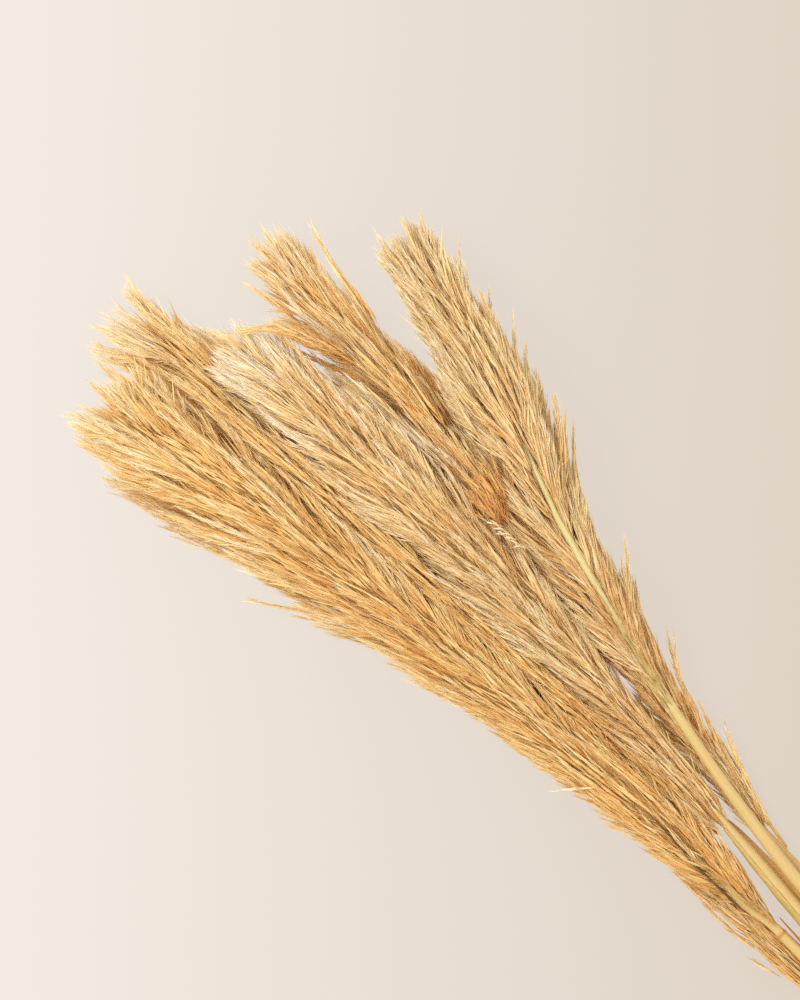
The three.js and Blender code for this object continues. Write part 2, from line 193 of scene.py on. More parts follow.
def section(one, x):
    # middle and half sizes of the plume's oval, or of the stem below the neck; whether it is stem, and is there
    x = np.asarray(x, float)
    inPlume = x >= one["neck"]
    stemRoom = 1.08
    stem = stemRadius(one, x) * stemRoom
    wide = along(one["spread"], x)
    a = np.where(inPlume, wide, stem)
    b = np.where(inPlume, np.maximum(wide * plumeFlatness, np.minimum(wide, 2.2)), stem)
    there = (x >= one["cut"]) & (x <= one["tip"] + 32)
    return along(one["sway"], x), along(one["rise"], x), a, b, ~inPlume, there


def rachisSection(one, x):
    rachis = one["rachis"]
    x = np.asarray(x, float)
    y, z, _, b, _, _ = section(one, x)
    share = np.clip((x - one["neck"]) / (rachis["end"] - one["neck"]), 0, 1)
    radius = rachis["rootRadius"] + (rachis["endRadius"] - rachis["rootRadius"]) * share
    ramp = np.clip(share * 2.2, 0, 1)
    ramp = ramp * ramp * (3 - 2 * ramp)
    there = (x >= one["neck"]) & (x <= rachis["end"])
    return (y + rachis["shift"] * ramp, z + rachis["lift"] * b * ramp, radius, radius,
            np.ones(x.shape, bool), there)


def depth(oval, y, z):
    reach = np.hypot((y - oval[0]) / oval[2], (z - oval[1]) / oval[3])
    return (reach - 1) * np.sqrt(oval[2] * oval[3])


def settle(one, points, stemGap, plumeGap):
    # draw points in until they are clear of every stem, not deep in another plume, and off the floor
    points = np.array(points, float)
    x, y, z = points.T
    homeY, homeZ = along(one["sway"], x), along(one["rise"], x)
    home = section(one, x)
    others = [section(other, x) for other in bunch if other is not one]
    if "rachis" in one:
        others.append(rachisSection(one, x))
    floorGap, pull = 1.5, 0.06
    for _ in range(60):
        mine = depth(home, y, z)
        blocked = np.zeros(len(x), bool)
        for oval in others:
            theirs = depth(oval, y, z)
            near = np.where(oval[4], theirs <= stemGap, theirs <= mine + plumeGap)
            blocked |= oval[5] & near
        if not blocked.any():
            break
        y = np.where(blocked, y + (homeY - y) * pull, y)
        z = np.where(blocked, z + (homeZ - z) * pull, z)
    return np.stack([x, y, np.maximum(z, floorGap)], 1)


# Branches: every lock of the solids becomes a few fine branches that gather into its point.

def locksOf(one):
    draw = dice(one["seed"])
    span = one["tip"] - one["neck"]
    crownShare, crownDepth, usualWidth = 0.14, 62, 36
    crown = round(one["locks"] * crownShare)
    rows = []
    for i in range(one["locks"]):
        inCrown = i >= one["locks"] - crown
        share = 1 if inCrown else (i + draw()) / (one["locks"] - crown)
        root = one["tip"] - crownDepth + 26 * draw() if inCrown else one["neck"] + 3 + (span - 76) * share
        wide = float(along(one["spread"], root + lookAhead)) / usualWidth
        length = 40 + 26 * draw() if inCrown else (58 + 44 * draw()) * (0.62 + 0.38 * wide)
        angle = parted(one, root, i * goldenTurn + 0.5 * (draw() - 0.5))
        twist = 0.5 * (draw() - 0.5)
        reach = 0.3 + 0.8 * math.sqrt(draw()) if inCrown else 0.84 + 0.2 * draw()
        width = 4.4 * (0.75 + 0.5 * draw()) * (0.55 + 0.45 * min(1, wide))
        rows.append({"root": root, "length": length, "angle": angle, "twist": twist,
                     "reach": reach, "width": width, "crown": inCrown})
    return rows


def parted(one, x, angle):
    # turn a lock away from the top of the plume where the rachis lies open
    rachis = one.get("rachis")
    if not rachis or x > rachis["end"] - rachis["covered"]:
        return angle
    parting = rachis["parting"] if x < rachis["end"] - 20 else rachis["groove"]
    fromTop = math.atan2(math.sin(angle - math.pi / 2), math.cos(angle - math.pi / 2))
    if abs(fromTop) > parting:
        return angle
    return math.pi / 2 + math.copysign(parting, fromTop)


def fullness(one, x, across):
    # how far a plume's side swells at x: less where its neighbour or the floor shows
    share = np.ones(len(x))
    for side, middle, half, sunk in one["hollows"]:
        share -= sunk * np.exp(-((x - middle) / half) ** 2) * np.clip(side * across, 0, 1)
    return share


def branchPath(one, root, length, angle, twist, reach, droop=0.0, fromShare=0.16, splay=0.0, last=math.inf):
    # leaves the rachis at a slant and carries on outwards to the plume's surface
    t = pathShares
    x = root + (min(root + length, last) - root) * t
    y, z, a, b, _, _ = section(one, x)
    a, b = np.maximum(a, 0.92 * a[0]), np.maximum(b, 0.92 * b[0])
    turn = angle + twist * t
    # a little squarer than an oval, so that neighbours meet
    across, up = np.cos(turn), np.sin(turn)
    square = 0.84
    across, up = np.sign(across) * np.abs(across) ** square, np.sign(up) * np.abs(up) ** square
    a = a * fullness(one, x, across)
    out = (1 - (1 - t) ** 1.35) * (1 - splay) + splay * t ** 0.9
    fromY, fromZ = y + a * fromShare * across, z + b * fromShare * up
    if "rachis" in one and root < one["rachis"]["end"] and math.sin(angle) > 0.1:
        bareY, bareZ, radius, _, _, _ = rachisSection(one, x)
        fromY, fromZ = bareY + radius * across, bareZ + 0.4 * radius * up
    toY, toZ = y + a * reach * across, z + b * reach * up
    z = fromZ + (toZ - fromZ) * out - droop * t ** 2
    return np.stack([x, fromY + (toY - fromY) * out, z], 1)


def branchesOf(one):
    # each run: path, tone, looseness, size, girth, density
    random = np.random.RandomState(one["seed"])
    runs = []
    locks = locksOf(one)
    span, paleReach = one["tip"] - one["neck"], 90
    # finer locks between the main ones
    for i, lock in enumerate(locks[:]):
        between = dict(lock)
        between["angle"] = parted(one, lock["root"], lock["angle"] + 1.2 + random.uniform(-0.3, 0.3))
        between["root"] = min(lock["root"] + random.uniform(-14, 14), one["tip"] - 30)
        between["reach"] = min(0.98, lock["reach"] * random.uniform(0.86, 1.0))
        locks.append(between)
    for lock in locks:
        facingUp = 0.5 + 0.5 * math.sin(lock["angle"])
        count = int(round(one["branches"] * (0.5 + 0.7 * facingUp)))
        wide = float(along(one["spread"], lock["root"] + lookAhead))
        lockTone = random.uniform(-0.15, 0.15) + (0.3 if random.uniform() < 0.05 else 0)
        side = math.cos(lock["angle"])
        splay = 0.25 + 0.35 * abs(side) * random.uniform()
        toothed = one["teeth"] * side > 0.55 and random.uniform() < 0.45
        short = 24 * random.uniform() ** 1.3
        for _ in range(max(count, 2)):
            off = random.uniform(-1, 1)
            angle = lock["angle"] + off * lock["width"] / wide * 1.2
            twist = 1.5 * lock["twist"] - off * lock["width"] / wide * 0.95
            length = (lock["length"] * random.uniform(0.72, 1.1)
                      * (1 - one.get("slant", 0) * max(0, one["teeth"] * side)))
            root = lock["root"] + random.uniform(-9, 9)
            reach = lock["reach"] * random.uniform(0.87, 1.0)
            loose = 0.45 + 0.55 * min(1, wide / 28)
            if toothed:
                reach, splay = reach * 1.08, 0.8
            elif one["teeth"] * side > 0.55:
                reach *= 0.93
            if lock["crown"]:
                length, loose = length * 0.8, 1.0
                twist = lock["twist"] * 0.4 - off * lock["width"] / wide * 0.6
                reach = lock["reach"] * random.uniform(0.78, 0.9)
            last = (one["tip"] + one["over"] - 6 - one["round"] * (reach * math.cos(angle)) ** 2
                    - short - 6 * random.uniform())
            if root > last - 26:
                root = last - random.uniform(26, 44)
            path = branchPath(one, root, length, angle, twist, reach, random.uniform(0, 2.5),
                              splay=splay, last=last)
            # paler towards the plume's tip: partly its own paler tips, partly painted light on the end that
            # faces the lamp
            ripeningAndPaintedLight = (0.2 * ((root - one["neck"]) / span - 0.5)
                    + one["paleTip"] * max(0, (root + lookAhead - one["tip"] + paleReach) / paleReach))
            tone = 0.5 + one["toneShift"] + ripeningAndPaintedLight + lockTone + random.uniform(-0.07, 0.07)
            runs.append((path, tone, loose, min(1.0, 0.6 + wide / 70), 1.0, 1.0))
    # slim branches that lie close round the foot of the plume, and over the end of a bare rachis
    for i in range(44):
        root = one["neck"] - 4 + 34 * random.uniform() ** 1.3
        angle = parted(one, root + 6, i * goldenTurn)
        path = branchPath(one, root, random.uniform(46, 80), angle, random.uniform(-0.2, 0.2),
                          random.uniform(0.55, 0.98), 0.0, 0.9)
        runs.append((path, one.get("footTone", 0.42 + one["toneShift"]) + random.uniform(-0.16, 0.16),
                     one.get("footLoose", 0.4), 0.85, 0.8, 0.8))
    if "rachis" in one:
        for i in range(26):
            root = one["rachis"]["end"] + random.uniform(-12, 12) - one["rachis"]["covered"]
            path = branchPath(one, root, random.uniform(50, 80), math.pi / 2 + random.uniform(-0.8, 0.8), 0,
                              random.uniform(0.9, 1.02), 0.0, 0.9)
            runs.append((path, 0.5 + one["toneShift"] + random.uniform(-0.14, 0.14), 0.6, 0.9, 0.9, 0.9))
    return runs


def fillsOf(one, key="fills"):
    # fluff that rises between the neighbours lying on top, or a seam of dark strands that paints the shade in a
    # groove between tufts
    random = np.random.RandomState(one["seed"] + 9)
    span = one["tip"] - one["neck"]
    runs = []
    for fill in one.get(key, []):
        line = np.array(fill["line"], float)
        deep = fill.get("deep", 9)
        for _ in range(fill["count"]):
            length = random.uniform(0.65, 1.0) * fill.get("length", 80)
            start = random.uniform(line[0, 0] - fill.get("before", 30), line[-1, 0] - 0.8 * length)
            t = pathShares
            x = start + length * t
            drift = random.uniform(-1, 1) * (0.7 + 0.3 * t) + random.uniform(-0.5, 0.5) * t
            y = np.interp(x, line[:, 0], line[:, 1]) + fill["half"] * drift
            z = (np.interp(x, line[:, 0], line[:, 2]) + fill.get("up", 0) - random.uniform(0, deep)
                 - deep * (1 - t) ** 2)
            # paler towards the plume's tip: partly its own colour, partly painted light on the end that faces
            # the lamp
            ripeningAndPaintedLight = 0.24 * ((start - one["neck"]) / span - 0.5)
            runs.append((np.stack([x, y, z], 1),
                         fill.get("tone", 0.46 + one["toneShift"] + ripeningAndPaintedLight) + random.uniform(-0.14, 0.14),
                         fill.get("loose", 0.9), fill.get("size", 1.0), 1.0, 1.0))
    return runs


def veilOf(one):
    # khaki hairs that lie in a V over the foot of a bare rachis
    random = np.random.RandomState(one["seed"] + 13)
    runs = []
    for veil in one["veils"]:
        for _ in range(veil["count"]):
            t = pathShares
            start = veil["low"] + (veil["high"] - 40 - veil["low"]) * random.uniform() ** 1.2
            x = start + random.uniform(34, 50) * t
            y, z, radius, _, _, _ = rachisSection(one, x)
            side = math.copysign(random.uniform(0.1, 1.0), veil["side"] or random.uniform(-1, 1))
            y = y + side * (1.5 + veil["fan"] * t)
            z = z + radius * (1.1 - 0.5 * abs(side)) + 1.2 - 2.0 * abs(side) * t ** 2
            runs.append((np.stack([x, y, z], 1), random.uniform(0.2, 0.6), 0.35, 0.7, 0.8, 0.9))
    return runs


# Mesh helpers.

def linked(name, data):
    piece = bpy.data.objects.new(name, data)
    bpy.context.scene.collection.objects.link(piece)
    return piece


def newMesh(name, points, edges, faces):
    # from points in drawn millimetres
    mesh = bpy.data.meshes.new(name)
    mesh.from_pydata(toRow(points).tolist(), edges, faces)
    return mesh


def setValues(mesh, name, values):
    mesh.attributes.new(name, "FLOAT", "POINT").data.foreach_set("value", np.array(values, np.float32))


def tubeFaces(rows, sides):
    return [(r * sides + s, r * sides + (s + 1) % sides, (r + 1) * sides + (s + 1) % sides, (r + 1) * sides + s)
            for r in range(rows - 1) for s in range(sides)]


runColumns = ["tone", "loose", "size", "girth", "density"]


def meshFromRuns(name, runs, loose, one):
    # polylines as loose edges, each with its own values; the loose ones keep their drawn course
    lengths = [len(run[0]) for run in runs + loose]
    settled = []
    if runs:
        settled = [settle(one, np.concatenate([run[0] for run in runs]), stemGap=0.8, plumeGap=-11.0)]
    points = np.concatenate(settled + [run[0] for run in loose])
    edges, first = [], 0
    for length in lengths:
        edges += [(first + k, first + k + 1) for k in range(length - 1)]
        first += length
    mesh = newMesh(name, points, edges, [])
    for column, attribute in enumerate(runColumns):
        setValues(mesh, attribute, np.repeat([run[1 + column] for run in runs + loose], lengths))
    return linked(name, mesh)


# Node helpers.

def socketOf(sockets, key):
    if isinstance(key, int):
        return sockets[key]
    for socket in sockets:
        if socket.identifier == key:
            return socket
    return sockets[key]


def addNode(tree, kind, values=None, **settings):
    node = tree.nodes.new(kind)
    for key, value in settings.items():
        setattr(node, key, value)
    for key, value in (values or {}).items():
        socket = socketOf(node.inputs, key)
        if isinstance(value, bpy.types.NodeSocket):
            tree.links.new(value, socket)
        else:
            socket.default_value = value
    return node


def calc(tree, operation, *values):
    return addNode(tree, "ShaderNodeMath", dict(enumerate(values)), operation=operation).outputs[0]


def vectorCalc(tree, operation, *values, scale=None):
    wired = dict(enumerate(values))
    if scale is not None:
        wired["Scale"] = scale
    return addNode(tree, "ShaderNodeVectorMath", wired, operation=operation).outputs[0]


def newTree(name, kind, inputs, outputs):
    tree = bpy.data.node_groups.new(name, kind)
    for direction, rows in (("INPUT", inputs), ("OUTPUT", outputs)):
        for row in rows:
            socket = tree.interface.new_socket(row[0], in_out=direction, socket_type=row[1])
            if len(row) > 2:
                socket.default_value = row[2]
    return tree, tree.nodes.new("NodeGroupInput"), tree.nodes.new("NodeGroupOutput")


def randomValue(tree, given, step, low, high):
    # a random number, or vector, for each point; step keeps the draws of one tree apart
    seed = calc(tree, "ADD", given.outputs["Seed"], step)
    if isinstance(low, tuple):
        return addNode(tree, "FunctionNodeRandomValue", {"Min": low, "Max": high, "Seed": seed},
                       data_type="FLOAT_VECTOR").outputs[0]
    return addNode(tree, "FunctionNodeRandomValue", {"Min_001": low, "Max_001": high, "Seed": seed},
                   data_type="FLOAT").outputs[1]


def mixed(tree, share, first, second):
    return addNode(tree, "ShaderNodeMix", {"Factor_Float": share, "A_Color": first, "B_Color": second},
                   data_type="RGBA").outputs[2]


def ranged(tree, value, low, high, toLow=0.0, toHigh=1.0, **settings):
    return addNode(tree, "ShaderNodeMapRange", {"Value": value, "From Min": low, "From Max": high,
                                                "To Min": toLow, "To Max": toHigh}, **settings).outputs[0]


def parts(tree, vector):
    return addNode(tree, "ShaderNodeSeparateXYZ", {0: vector}).outputs


def joined(tree, x, y, z=0.0):
    return addNode(tree, "ShaderNodeCombineXYZ", {0: x, 1: y, 2: z}).outputs[0]


def named(tree, name, kind="FLOAT"):
    return addNode(tree, "GeometryNodeInputNamedAttribute", {"Name": name}, data_type=kind).outputs[0]


def stored(tree, geometry, name, value, kind="FLOAT", domain="POINT"):
    return addNode(tree, "GeometryNodeStoreNamedAttribute",
                   {"Geometry": geometry, "Name": name, "Value": value},
                   data_type=kind, domain=domain).outputs[0]


# Strands.

def sliversOn(tree, given, points, heading, length, width, shade, breadth):
    # a sliver on every point, rolled about its own length; none points down through the floor
    floorGap = 0.0014
    split, place = parts(tree, heading), parts(tree, addNode(tree, "GeometryNodeInputPosition").outputs[0])
    lowest = calc(tree, "DIVIDE", calc(tree, "SUBTRACT", floorGap, place["Z"]), length)
    heading = joined(tree, split["X"], split["Y"], calc(tree, "MAXIMUM", split["Z"], lowest))
    aimed = addNode(tree, "FunctionNodeAlignRotationToVector", {"Vector": heading}, axis="Z").outputs[0]
    roll = addNode(tree, "FunctionNodeAxisAngleToRotation",
                   {"Axis": (0, 0, 1), "Angle": randomValue(tree, given, 4, 0.0, 6.283)}).outputs[0]
    turned = addNode(tree, "FunctionNodeRotateRotation", {"Rotation": aimed, "Rotate By": roll},
                     rotation_space="LOCAL").outputs[0]
    shade = addNode(tree, "ShaderNodeClamp", {"Value": shade, "Min": 0.02, "Max": 0.98}).outputs[0]
    shaded = stored(tree, stored(tree, points, "shade", shade), "breadth", breadth)
    sliver = addNode(tree, "GeometryNodeObjectInfo", {"Object": given.outputs["Spikelet"]}).outputs["Geometry"]
    return addNode(tree, "GeometryNodeInstanceOnPoints",
                   {"Points": shaded, "Instance": sliver, "Rotation": turned,
                    "Scale": joined(tree, width, width, length)}).outputs[0]


def strandPassTree():
    # one pass of strands along every branch
    tree, given, result = newTree("strandsAlongBranches", "GeometryNodeTree", [
        ("Branches", "NodeSocketGeometry"), ("Spikelet", "NodeSocketObject"),
        ("Spacing", "NodeSocketFloat", 0.001), ("Bare Foot", "NodeSocketFloat", 0.1),
        ("Length", "NodeSocketFloat", 0.012), ("Width", "NodeSocketFloat", 0.0007),
        ("Spread", "NodeSocketFloat", 0.3), ("Tone Range", "NodeSocketFloat", 0.3),
        ("Far", "NodeSocketFloat", 1.0), ("Breadth", "NodeSocketFloat", 0.006),
        ("Seed", "NodeSocketInt", 1)], [("Strands", "NodeSocketGeometry")])
    g = given.outputs
    factor = addNode(tree, "GeometryNodeSplineParameter").outputs["Factor"]
    marked = stored(tree, g["Branches"], "reached", factor)
    points = addNode(tree, "GeometryNodeCurveToPoints", {"Curve": marked, "Length": g["Spacing"]},
                     mode="LENGTH")
    reached = named(tree, "reached")
    bare = calc(tree, "MAXIMUM", calc(tree, "LESS_THAN", reached, g["Bare Foot"]),
                calc(tree, "GREATER_THAN", reached, g["Far"]))
    spare = calc(tree, "GREATER_THAN", randomValue(tree, given, 6, 0.0, 1.0), named(tree, "density"))
    kept = addNode(tree, "GeometryNodeDeleteGeometry",
                   {"Geometry": points.outputs[0], "Selection": calc(tree, "MAXIMUM", bare, spare)},
                   domain="POINT").outputs[0]

    # strands lean away from the branch, and gather towards its point
    scatter = randomValue(tree, given, 1, (-1, -1, -1), (1, 1, 1))
    gather = calc(tree, "SUBTRACT", 1.2, calc(tree, "MULTIPLY", reached, 0.7))
    lean = calc(tree, "MULTIPLY", calc(tree, "MULTIPLY", g["Spread"], named(tree, "loose")), gather)
    heading = vectorCalc(tree, "NORMALIZE", vectorCalc(tree, "ADD", points.outputs["Tangent"],
                                                       vectorCalc(tree, "SCALE", scatter, scale=lean)))
    taper = calc(tree, "SUBTRACT", 1.12, calc(tree, "MULTIPLY", reached, 0.3))
    length = calc(tree, "MULTIPLY", calc(tree, "MULTIPLY", g["Length"], named(tree, "size")),
                  calc(tree, "MULTIPLY", taper, randomValue(tree, given, 2, 0.6, 1.3)))
    width = calc(tree, "MULTIPLY", calc(tree, "MULTIPLY", g["Width"], named(tree, "girth")),
                 randomValue(tree, given, 3, 0.65, 1.25))

    # painted shade: lighter towards the branch's point and darker at its foot, where the locks lie over each
    # other; most strands are alike, and a few much darker or paler
    draw = randomValue(tree, given, 5, -1.0, 1.0)
    cubed = calc(tree, "MULTIPLY", calc(tree, "MULTIPLY", draw, draw), draw)
    own = calc(tree, "MULTIPLY", cubed, g["Tone Range"])
    ripeningAndPaintedLight = calc(tree, "MULTIPLY", calc(tree, "SUBTRACT", reached, 0.62), 0.42)
    shade = calc(tree, "ADD", named(tree, "tone"), calc(tree, "ADD", own, ripeningAndPaintedLight))
    placed = sliversOn(tree, given, kept, heading, length, width, shade, g["Breadth"])
    tree.links.new(placed, result.inputs[0])
    return tree


def underFluffTree():
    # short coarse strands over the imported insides, lying along the plume
    tree, given, result = newTree("underFluff", "GeometryNodeTree", [
        ("Heart", "NodeSocketObject"), ("Spikelet", "NodeSocketObject"),
        ("Density", "NodeSocketFloat", 90000.0),
        ("Length", "NodeSocketFloat", 0.018), ("Width", "NodeSocketFloat", 0.0016),
        ("Lift", "NodeSocketFloat", 0.22), ("Tone", "NodeSocketFloat", 0.3), ("Seed", "NodeSocketInt", 1)],
        [("Strands", "NodeSocketGeometry")])
    g = given.outputs
    surface = addNode(tree, "GeometryNodeObjectInfo", {"Object": g["Heart"]}).outputs["Geometry"]
    spots = addNode(tree, "GeometryNodeDistributePointsOnFaces",
                    {"Mesh": surface, "Density": g["Density"], "Seed": g["Seed"]})
    scatter = randomValue(tree, given, 1, (-0.22, -0.22, -0.22), (0.22, 0.22, 0.22))
    rise = vectorCalc(tree, "SCALE", spots.outputs["Normal"], scale=g["Lift"])
    course = vectorCalc(tree, "ADD", named(tree, "course", "FLOAT_VECTOR"), rise)
    heading = vectorCalc(tree, "NORMALIZE", vectorCalc(tree, "ADD", course, scatter))
    length = calc(tree, "MULTIPLY", g["Length"], randomValue(tree, given, 2, 0.6, 1.3))
    width = calc(tree, "MULTIPLY", g["Width"], randomValue(tree, given, 3, 0.6, 1.2))
    shade = calc(tree, "ADD", g["Tone"], randomValue(tree, given, 5, -0.26, 0.26))
    placed = sliversOn(tree, given, spots.outputs["Points"], heading, length, width, shade, 0.012)
    tree.links.new(placed, result.inputs[0])
    return tree


strandWords = ("Spacing", "Bare Foot", "Length", "Width", "Spread", "Tone Range", "Far", "Breadth")
underWords = ("Density", "Length", "Width", "Lift", "Tone")
strandPasses = {
    "Spikelet": (0.00128, 0.2, 0.015, 0.00076, 0.25, 0.4, 1.0, 0.004),
    "Sheaf": (0.011, 0.04, 0.030, 0.0024, 0.1, 0.3, 0.6, 0.012),
    "Wisp": (0.0095, 0.5, 0.013, 0.0004, 0.7, 0.4, 1.0, 0.002),
}
strandSizes = {f"{name} {word}": value for name, values in strandPasses.items()
               for word, value in zip(strandWords, values)}
strandSizes.update(zip([f"Under {word}" for word in underWords], (70000.0, 0.026, 0.002, 0.12)))


def fluffTree(strandPass, underFluff):
    # all the passes and the under-layer, realised, with each sliver's shade and part in the map
    rows = [("Branches", "NodeSocketGeometry"), ("Seed Shape", "NodeSocketObject"),
            ("Seed", "NodeSocketInt", 1), ("Heart", "NodeSocketObject")]
    rows += [(f"Under {word}", "NodeSocketFloat") for word in underWords]
    rows += [(f"{name} {word}", "NodeSocketFloat") for name in strandPasses for word in strandWords]
    rows.append(("Material", "NodeSocketMaterial"))
    tree, given, result = newTree("plumeFluff", "GeometryNodeTree", rows, [("Fluff", "NodeSocketGeometry")])
    g = given.outputs
    curves = addNode(tree, "GeometryNodeMeshToCurve", {"Mesh": g["Branches"]}).outputs[0]
    smooth = addNode(tree, "GeometryNodeCurveSplineType", {"Curve": curves},
                     spline_type="CATMULL_ROM").outputs[0]
    join = tree.nodes.new("GeometryNodeJoinGeometry")
    for step, name in enumerate(strandPasses):
        node = addNode(tree, "GeometryNodeGroup", node_tree=strandPass)
        for key, value in (("Branches", smooth), ("Spikelet", g["Seed Shape"]),
                           ("Seed", calc(tree, "ADD", g["Seed"], 20 * step))):
            tree.links.new(value, node.inputs[key])
        for word in strandWords:
            tree.links.new(g[f"{name} {word}"], node.inputs[word])
        tree.links.new(node.outputs[0], join.inputs[0])
    under = addNode(tree, "GeometryNodeGroup", node_tree=underFluff)
    for key, value in (("Heart", g["Heart"]), ("Spikelet", g["Seed Shape"]), ("Seed", g["Seed"])):
        tree.links.new(value, under.inputs[key])
    for word in underWords:
        tree.links.new(g[f"Under {word}"], under.inputs[word])
    tree.links.new(under.outputs[0], join.inputs[0])
    whole = addNode(tree, "GeometryNodeRealizeInstances", {"Geometry": join.outputs[0]}).outputs[0]
    across = calc(tree, "ADD", named(tree, "shade"),
                  calc(tree, "MULTIPLY", named(tree, "side"), named(tree, "breadth")))
    mapped = stored(tree, whole, "OFBake", joined(tree, across, named(tree, "part")), "FLOAT2", "CORNER")
    coated = addNode(tree, "GeometryNodeSetMaterial",
                     {"Geometry": mapped, "Material": g["Material"]}).outputs[0]
    tree.links.new(coated, result.inputs[0])
    return tree


def spikeletShape():
    # a closed sliver with a ridged back: pointed foot, widest below its middle, pointed tip
    points = [(0, 0.3, 0.0), (0, 0.12, 1.0), (-0.5, -0.22, 0.36), (0.5, -0.22, 0.36)]
    faces = [(0, 1, 2), (1, 0, 3), (2, 3, 0), (3, 2, 1)]
    mesh = bpy.data.meshes.new("spikeletShape")
    mesh.from_pydata(points, [], faces)
    setValues(mesh, "part", (0.0, 1.0, 0.4, 0.4))
    setValues(mesh, "side", (0, 0, -1, 1))
    return bpy.data.objects.new("spikeletShape", mesh)


def applied(piece):
    # the modifiers' result as a plain mesh on the same object
    graph = bpy.context.evaluated_depsgraph_get()
    mesh = bpy.data.meshes.new_from_object(piece.evaluated_get(graph), depsgraph=graph)
    piece.modifiers.clear()
    old, piece.data = piece.data, mesh
    bpy.data.meshes.remove(old)
    mesh.name = piece.name
    return piece


def offTheFloor(piece):
    # lift every sliver, four corners each, that would dip into the floor
    clearance = 0.0002
    corners = np.empty(3 * len(piece.data.vertices), np.float32)
    piece.data.vertices.foreach_get("co", corners)
    slivers = corners.reshape(-1, 4, 3)
    slivers[:, :, 2] += np.maximum(clearance - slivers[:, :, 2].min(1), 0)[:, None]
    piece.data.vertices.foreach_set("co", slivers.ravel())
    piece.data.update()


def withNodes(piece, tree, values):
    modifier = piece.modifiers.new(tree.name, "NODES")
    modifier.node_group = tree
    names = {item.name: item.identifier for item in tree.interface.items_tree
             if item.item_type == "SOCKET" and item.in_out == "INPUT"}
    for name, value in values.items():
        modifier[names[name]] = value
    return applied(piece)


# Shader groups.

def strandTintGroup():
    # u of the map is a strand's own shade, v runs from its foot to its tip
    tree, given, result = newTree("strandTint", "ShaderNodeTree", [
        ("Deep", "NodeSocketColor"), ("Body", "NodeSocketColor"), ("Light", "NodeSocketColor"),
        ("Pale", "NodeSocketColor"), ("Foot Shade", "NodeSocketFloat", 0.4)], [("Color", "NodeSocketColor")])
    place = addNode(tree, "ShaderNodeUVMap", uv_map="OFBake").outputs[0]
    chart = parts(tree, place)
    deep, pale = given.outputs["Deep"], given.outputs["Pale"]
    colour = deep
    for low, high, name in ((0.02, 0.35, "Body"), (0.35, 0.68, "Light"), (0.68, 0.98, "Pale")):
        blend = ranged(tree, chart["X"], low, high, interpolation_type="SMOOTHSTEP")
        colour = mixed(tree, blend, colour, given.outputs[name])
    foot = calc(tree, "MULTIPLY", ranged(tree, chart["Y"], 0.0, 0.45, 1.0, 0.0), given.outputs["Foot Shade"])
    colour = mixed(tree, foot, colour, deep)
    # fine fibres run the length of the broader strands; their darker lines are painted shade between the
    # fibres, and their paler lines are painted highlights
    fine = addNode(tree, "ShaderNodeMapping", {"Vector": place, "Scale": (340, 3, 1)}).outputs[0]
    fibre = addNode(tree, "ShaderNodeTexNoise", {"Vector": fine, "Scale": 1.0, "Detail": 2.0,
                                                 "Roughness": 0.6}).outputs[0]
    colour = mixed(tree, ranged(tree, fibre, 0.48, 0.3, 0.0, 0.42), colour, deep)
    colour = mixed(tree, ranged(tree, fibre, 0.52, 0.72, 0.0, 0.4), colour, pale)
    tree.links.new(colour, result.inputs[0])
    return tree


def fibreGroup():
    # long streaks that follow the stalk, read from its own lengthwise map
    tree, given, result = newTree("stalkFibre", "ShaderNodeTree", [
        ("Place", "NodeSocketVector"), ("Scale", "NodeSocketFloat", 9.0), ("Detail", "NodeSocketFloat", 4.0)],
        [("Streak", "NodeSocketFloat"), ("Blotch", "NodeSocketFloat")])
    g = given.outputs
    fine = addNode(tree, "ShaderNodeTexNoise", {"Vector": g["Place"], "Scale": g["Scale"],
                                                "Detail": g["Detail"], "Roughness": 0.65})
    broad = addNode(tree, "ShaderNodeTexNoise", {"Vector": g["Place"], "Scale": 1.3, "Detail": 2.0})
    for k, node in enumerate((fine, broad)):
        tree.links.new(ranged(tree, node.outputs[0], 0.3, 0.7), result.inputs[k])
    return tree


def linear(colour):
    # from 0-255 screen values
    return tuple((c / 12.92 if c <= 0.04045 else ((c + 0.055) / 1.055) ** 2.4)
                 for c in (value / 255 for value in colour)) + (1.0,)


def newMaterial(name):
    material = bpy.data.materials.new(name)
    material.use_nodes = True
    tree = material.node_tree
    shader = tree.nodes["Principled BSDF"]
    return material, tree, shader


strandTint = strandTintGroup()
stalkFibre = fibreGroup()


def fluffMaterial(name, looks):
    material, tree, shader = newMaterial(name)
    tint = addNode(tree, "ShaderNodeGroup", node_tree=strandTint)
    for key in ("Deep", "Body", "Light", "Pale"):
        tint.inputs[key].default_value = linear(looks[key.lower()])
    tint.inputs["Foot Shade"].default_value = looks["footShade"]
    tree.links.new(tint.outputs[0], shader.inputs["Base Color"])
    shader.inputs["Roughness"].default_value = 0.62
    shader.inputs["Specular IOR Level"].default_value = 0.24
    return material


def heartMaterial(name, looks):
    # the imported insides: dark, streaked along the plume
    material, tree, shader = newMaterial(name)
    place = addNode(tree, "ShaderNodeTexCoord").outputs["Object"]
    drawn = addNode(tree, "ShaderNodeMapping", {"Vector": place, "Scale": (60, 900, 900)}).outputs[0]
    streak = addNode(tree, "ShaderNodeTexNoise", {"Vector": drawn, "Scale": 1.0, "Detail": 5.0,
                                                  "Roughness": 0.7})
    clear = ranged(tree, streak.outputs[0], 0.32, 0.68)
    colour = mixed(tree, clear, linear(looks["deep"]), linear(looks["body"]))
    bump = addNode(tree, "ShaderNodeBump", {"Height": clear, "Strength": 1.0, "Distance": 0.002})
    tree.links.new(colour, shader.inputs["Base Color"])
    tree.links.new(bump.outputs[0], shader.inputs["Normal"])
    shader.inputs["Roughness"].default_value = 0.8
    return material


# Plumes.

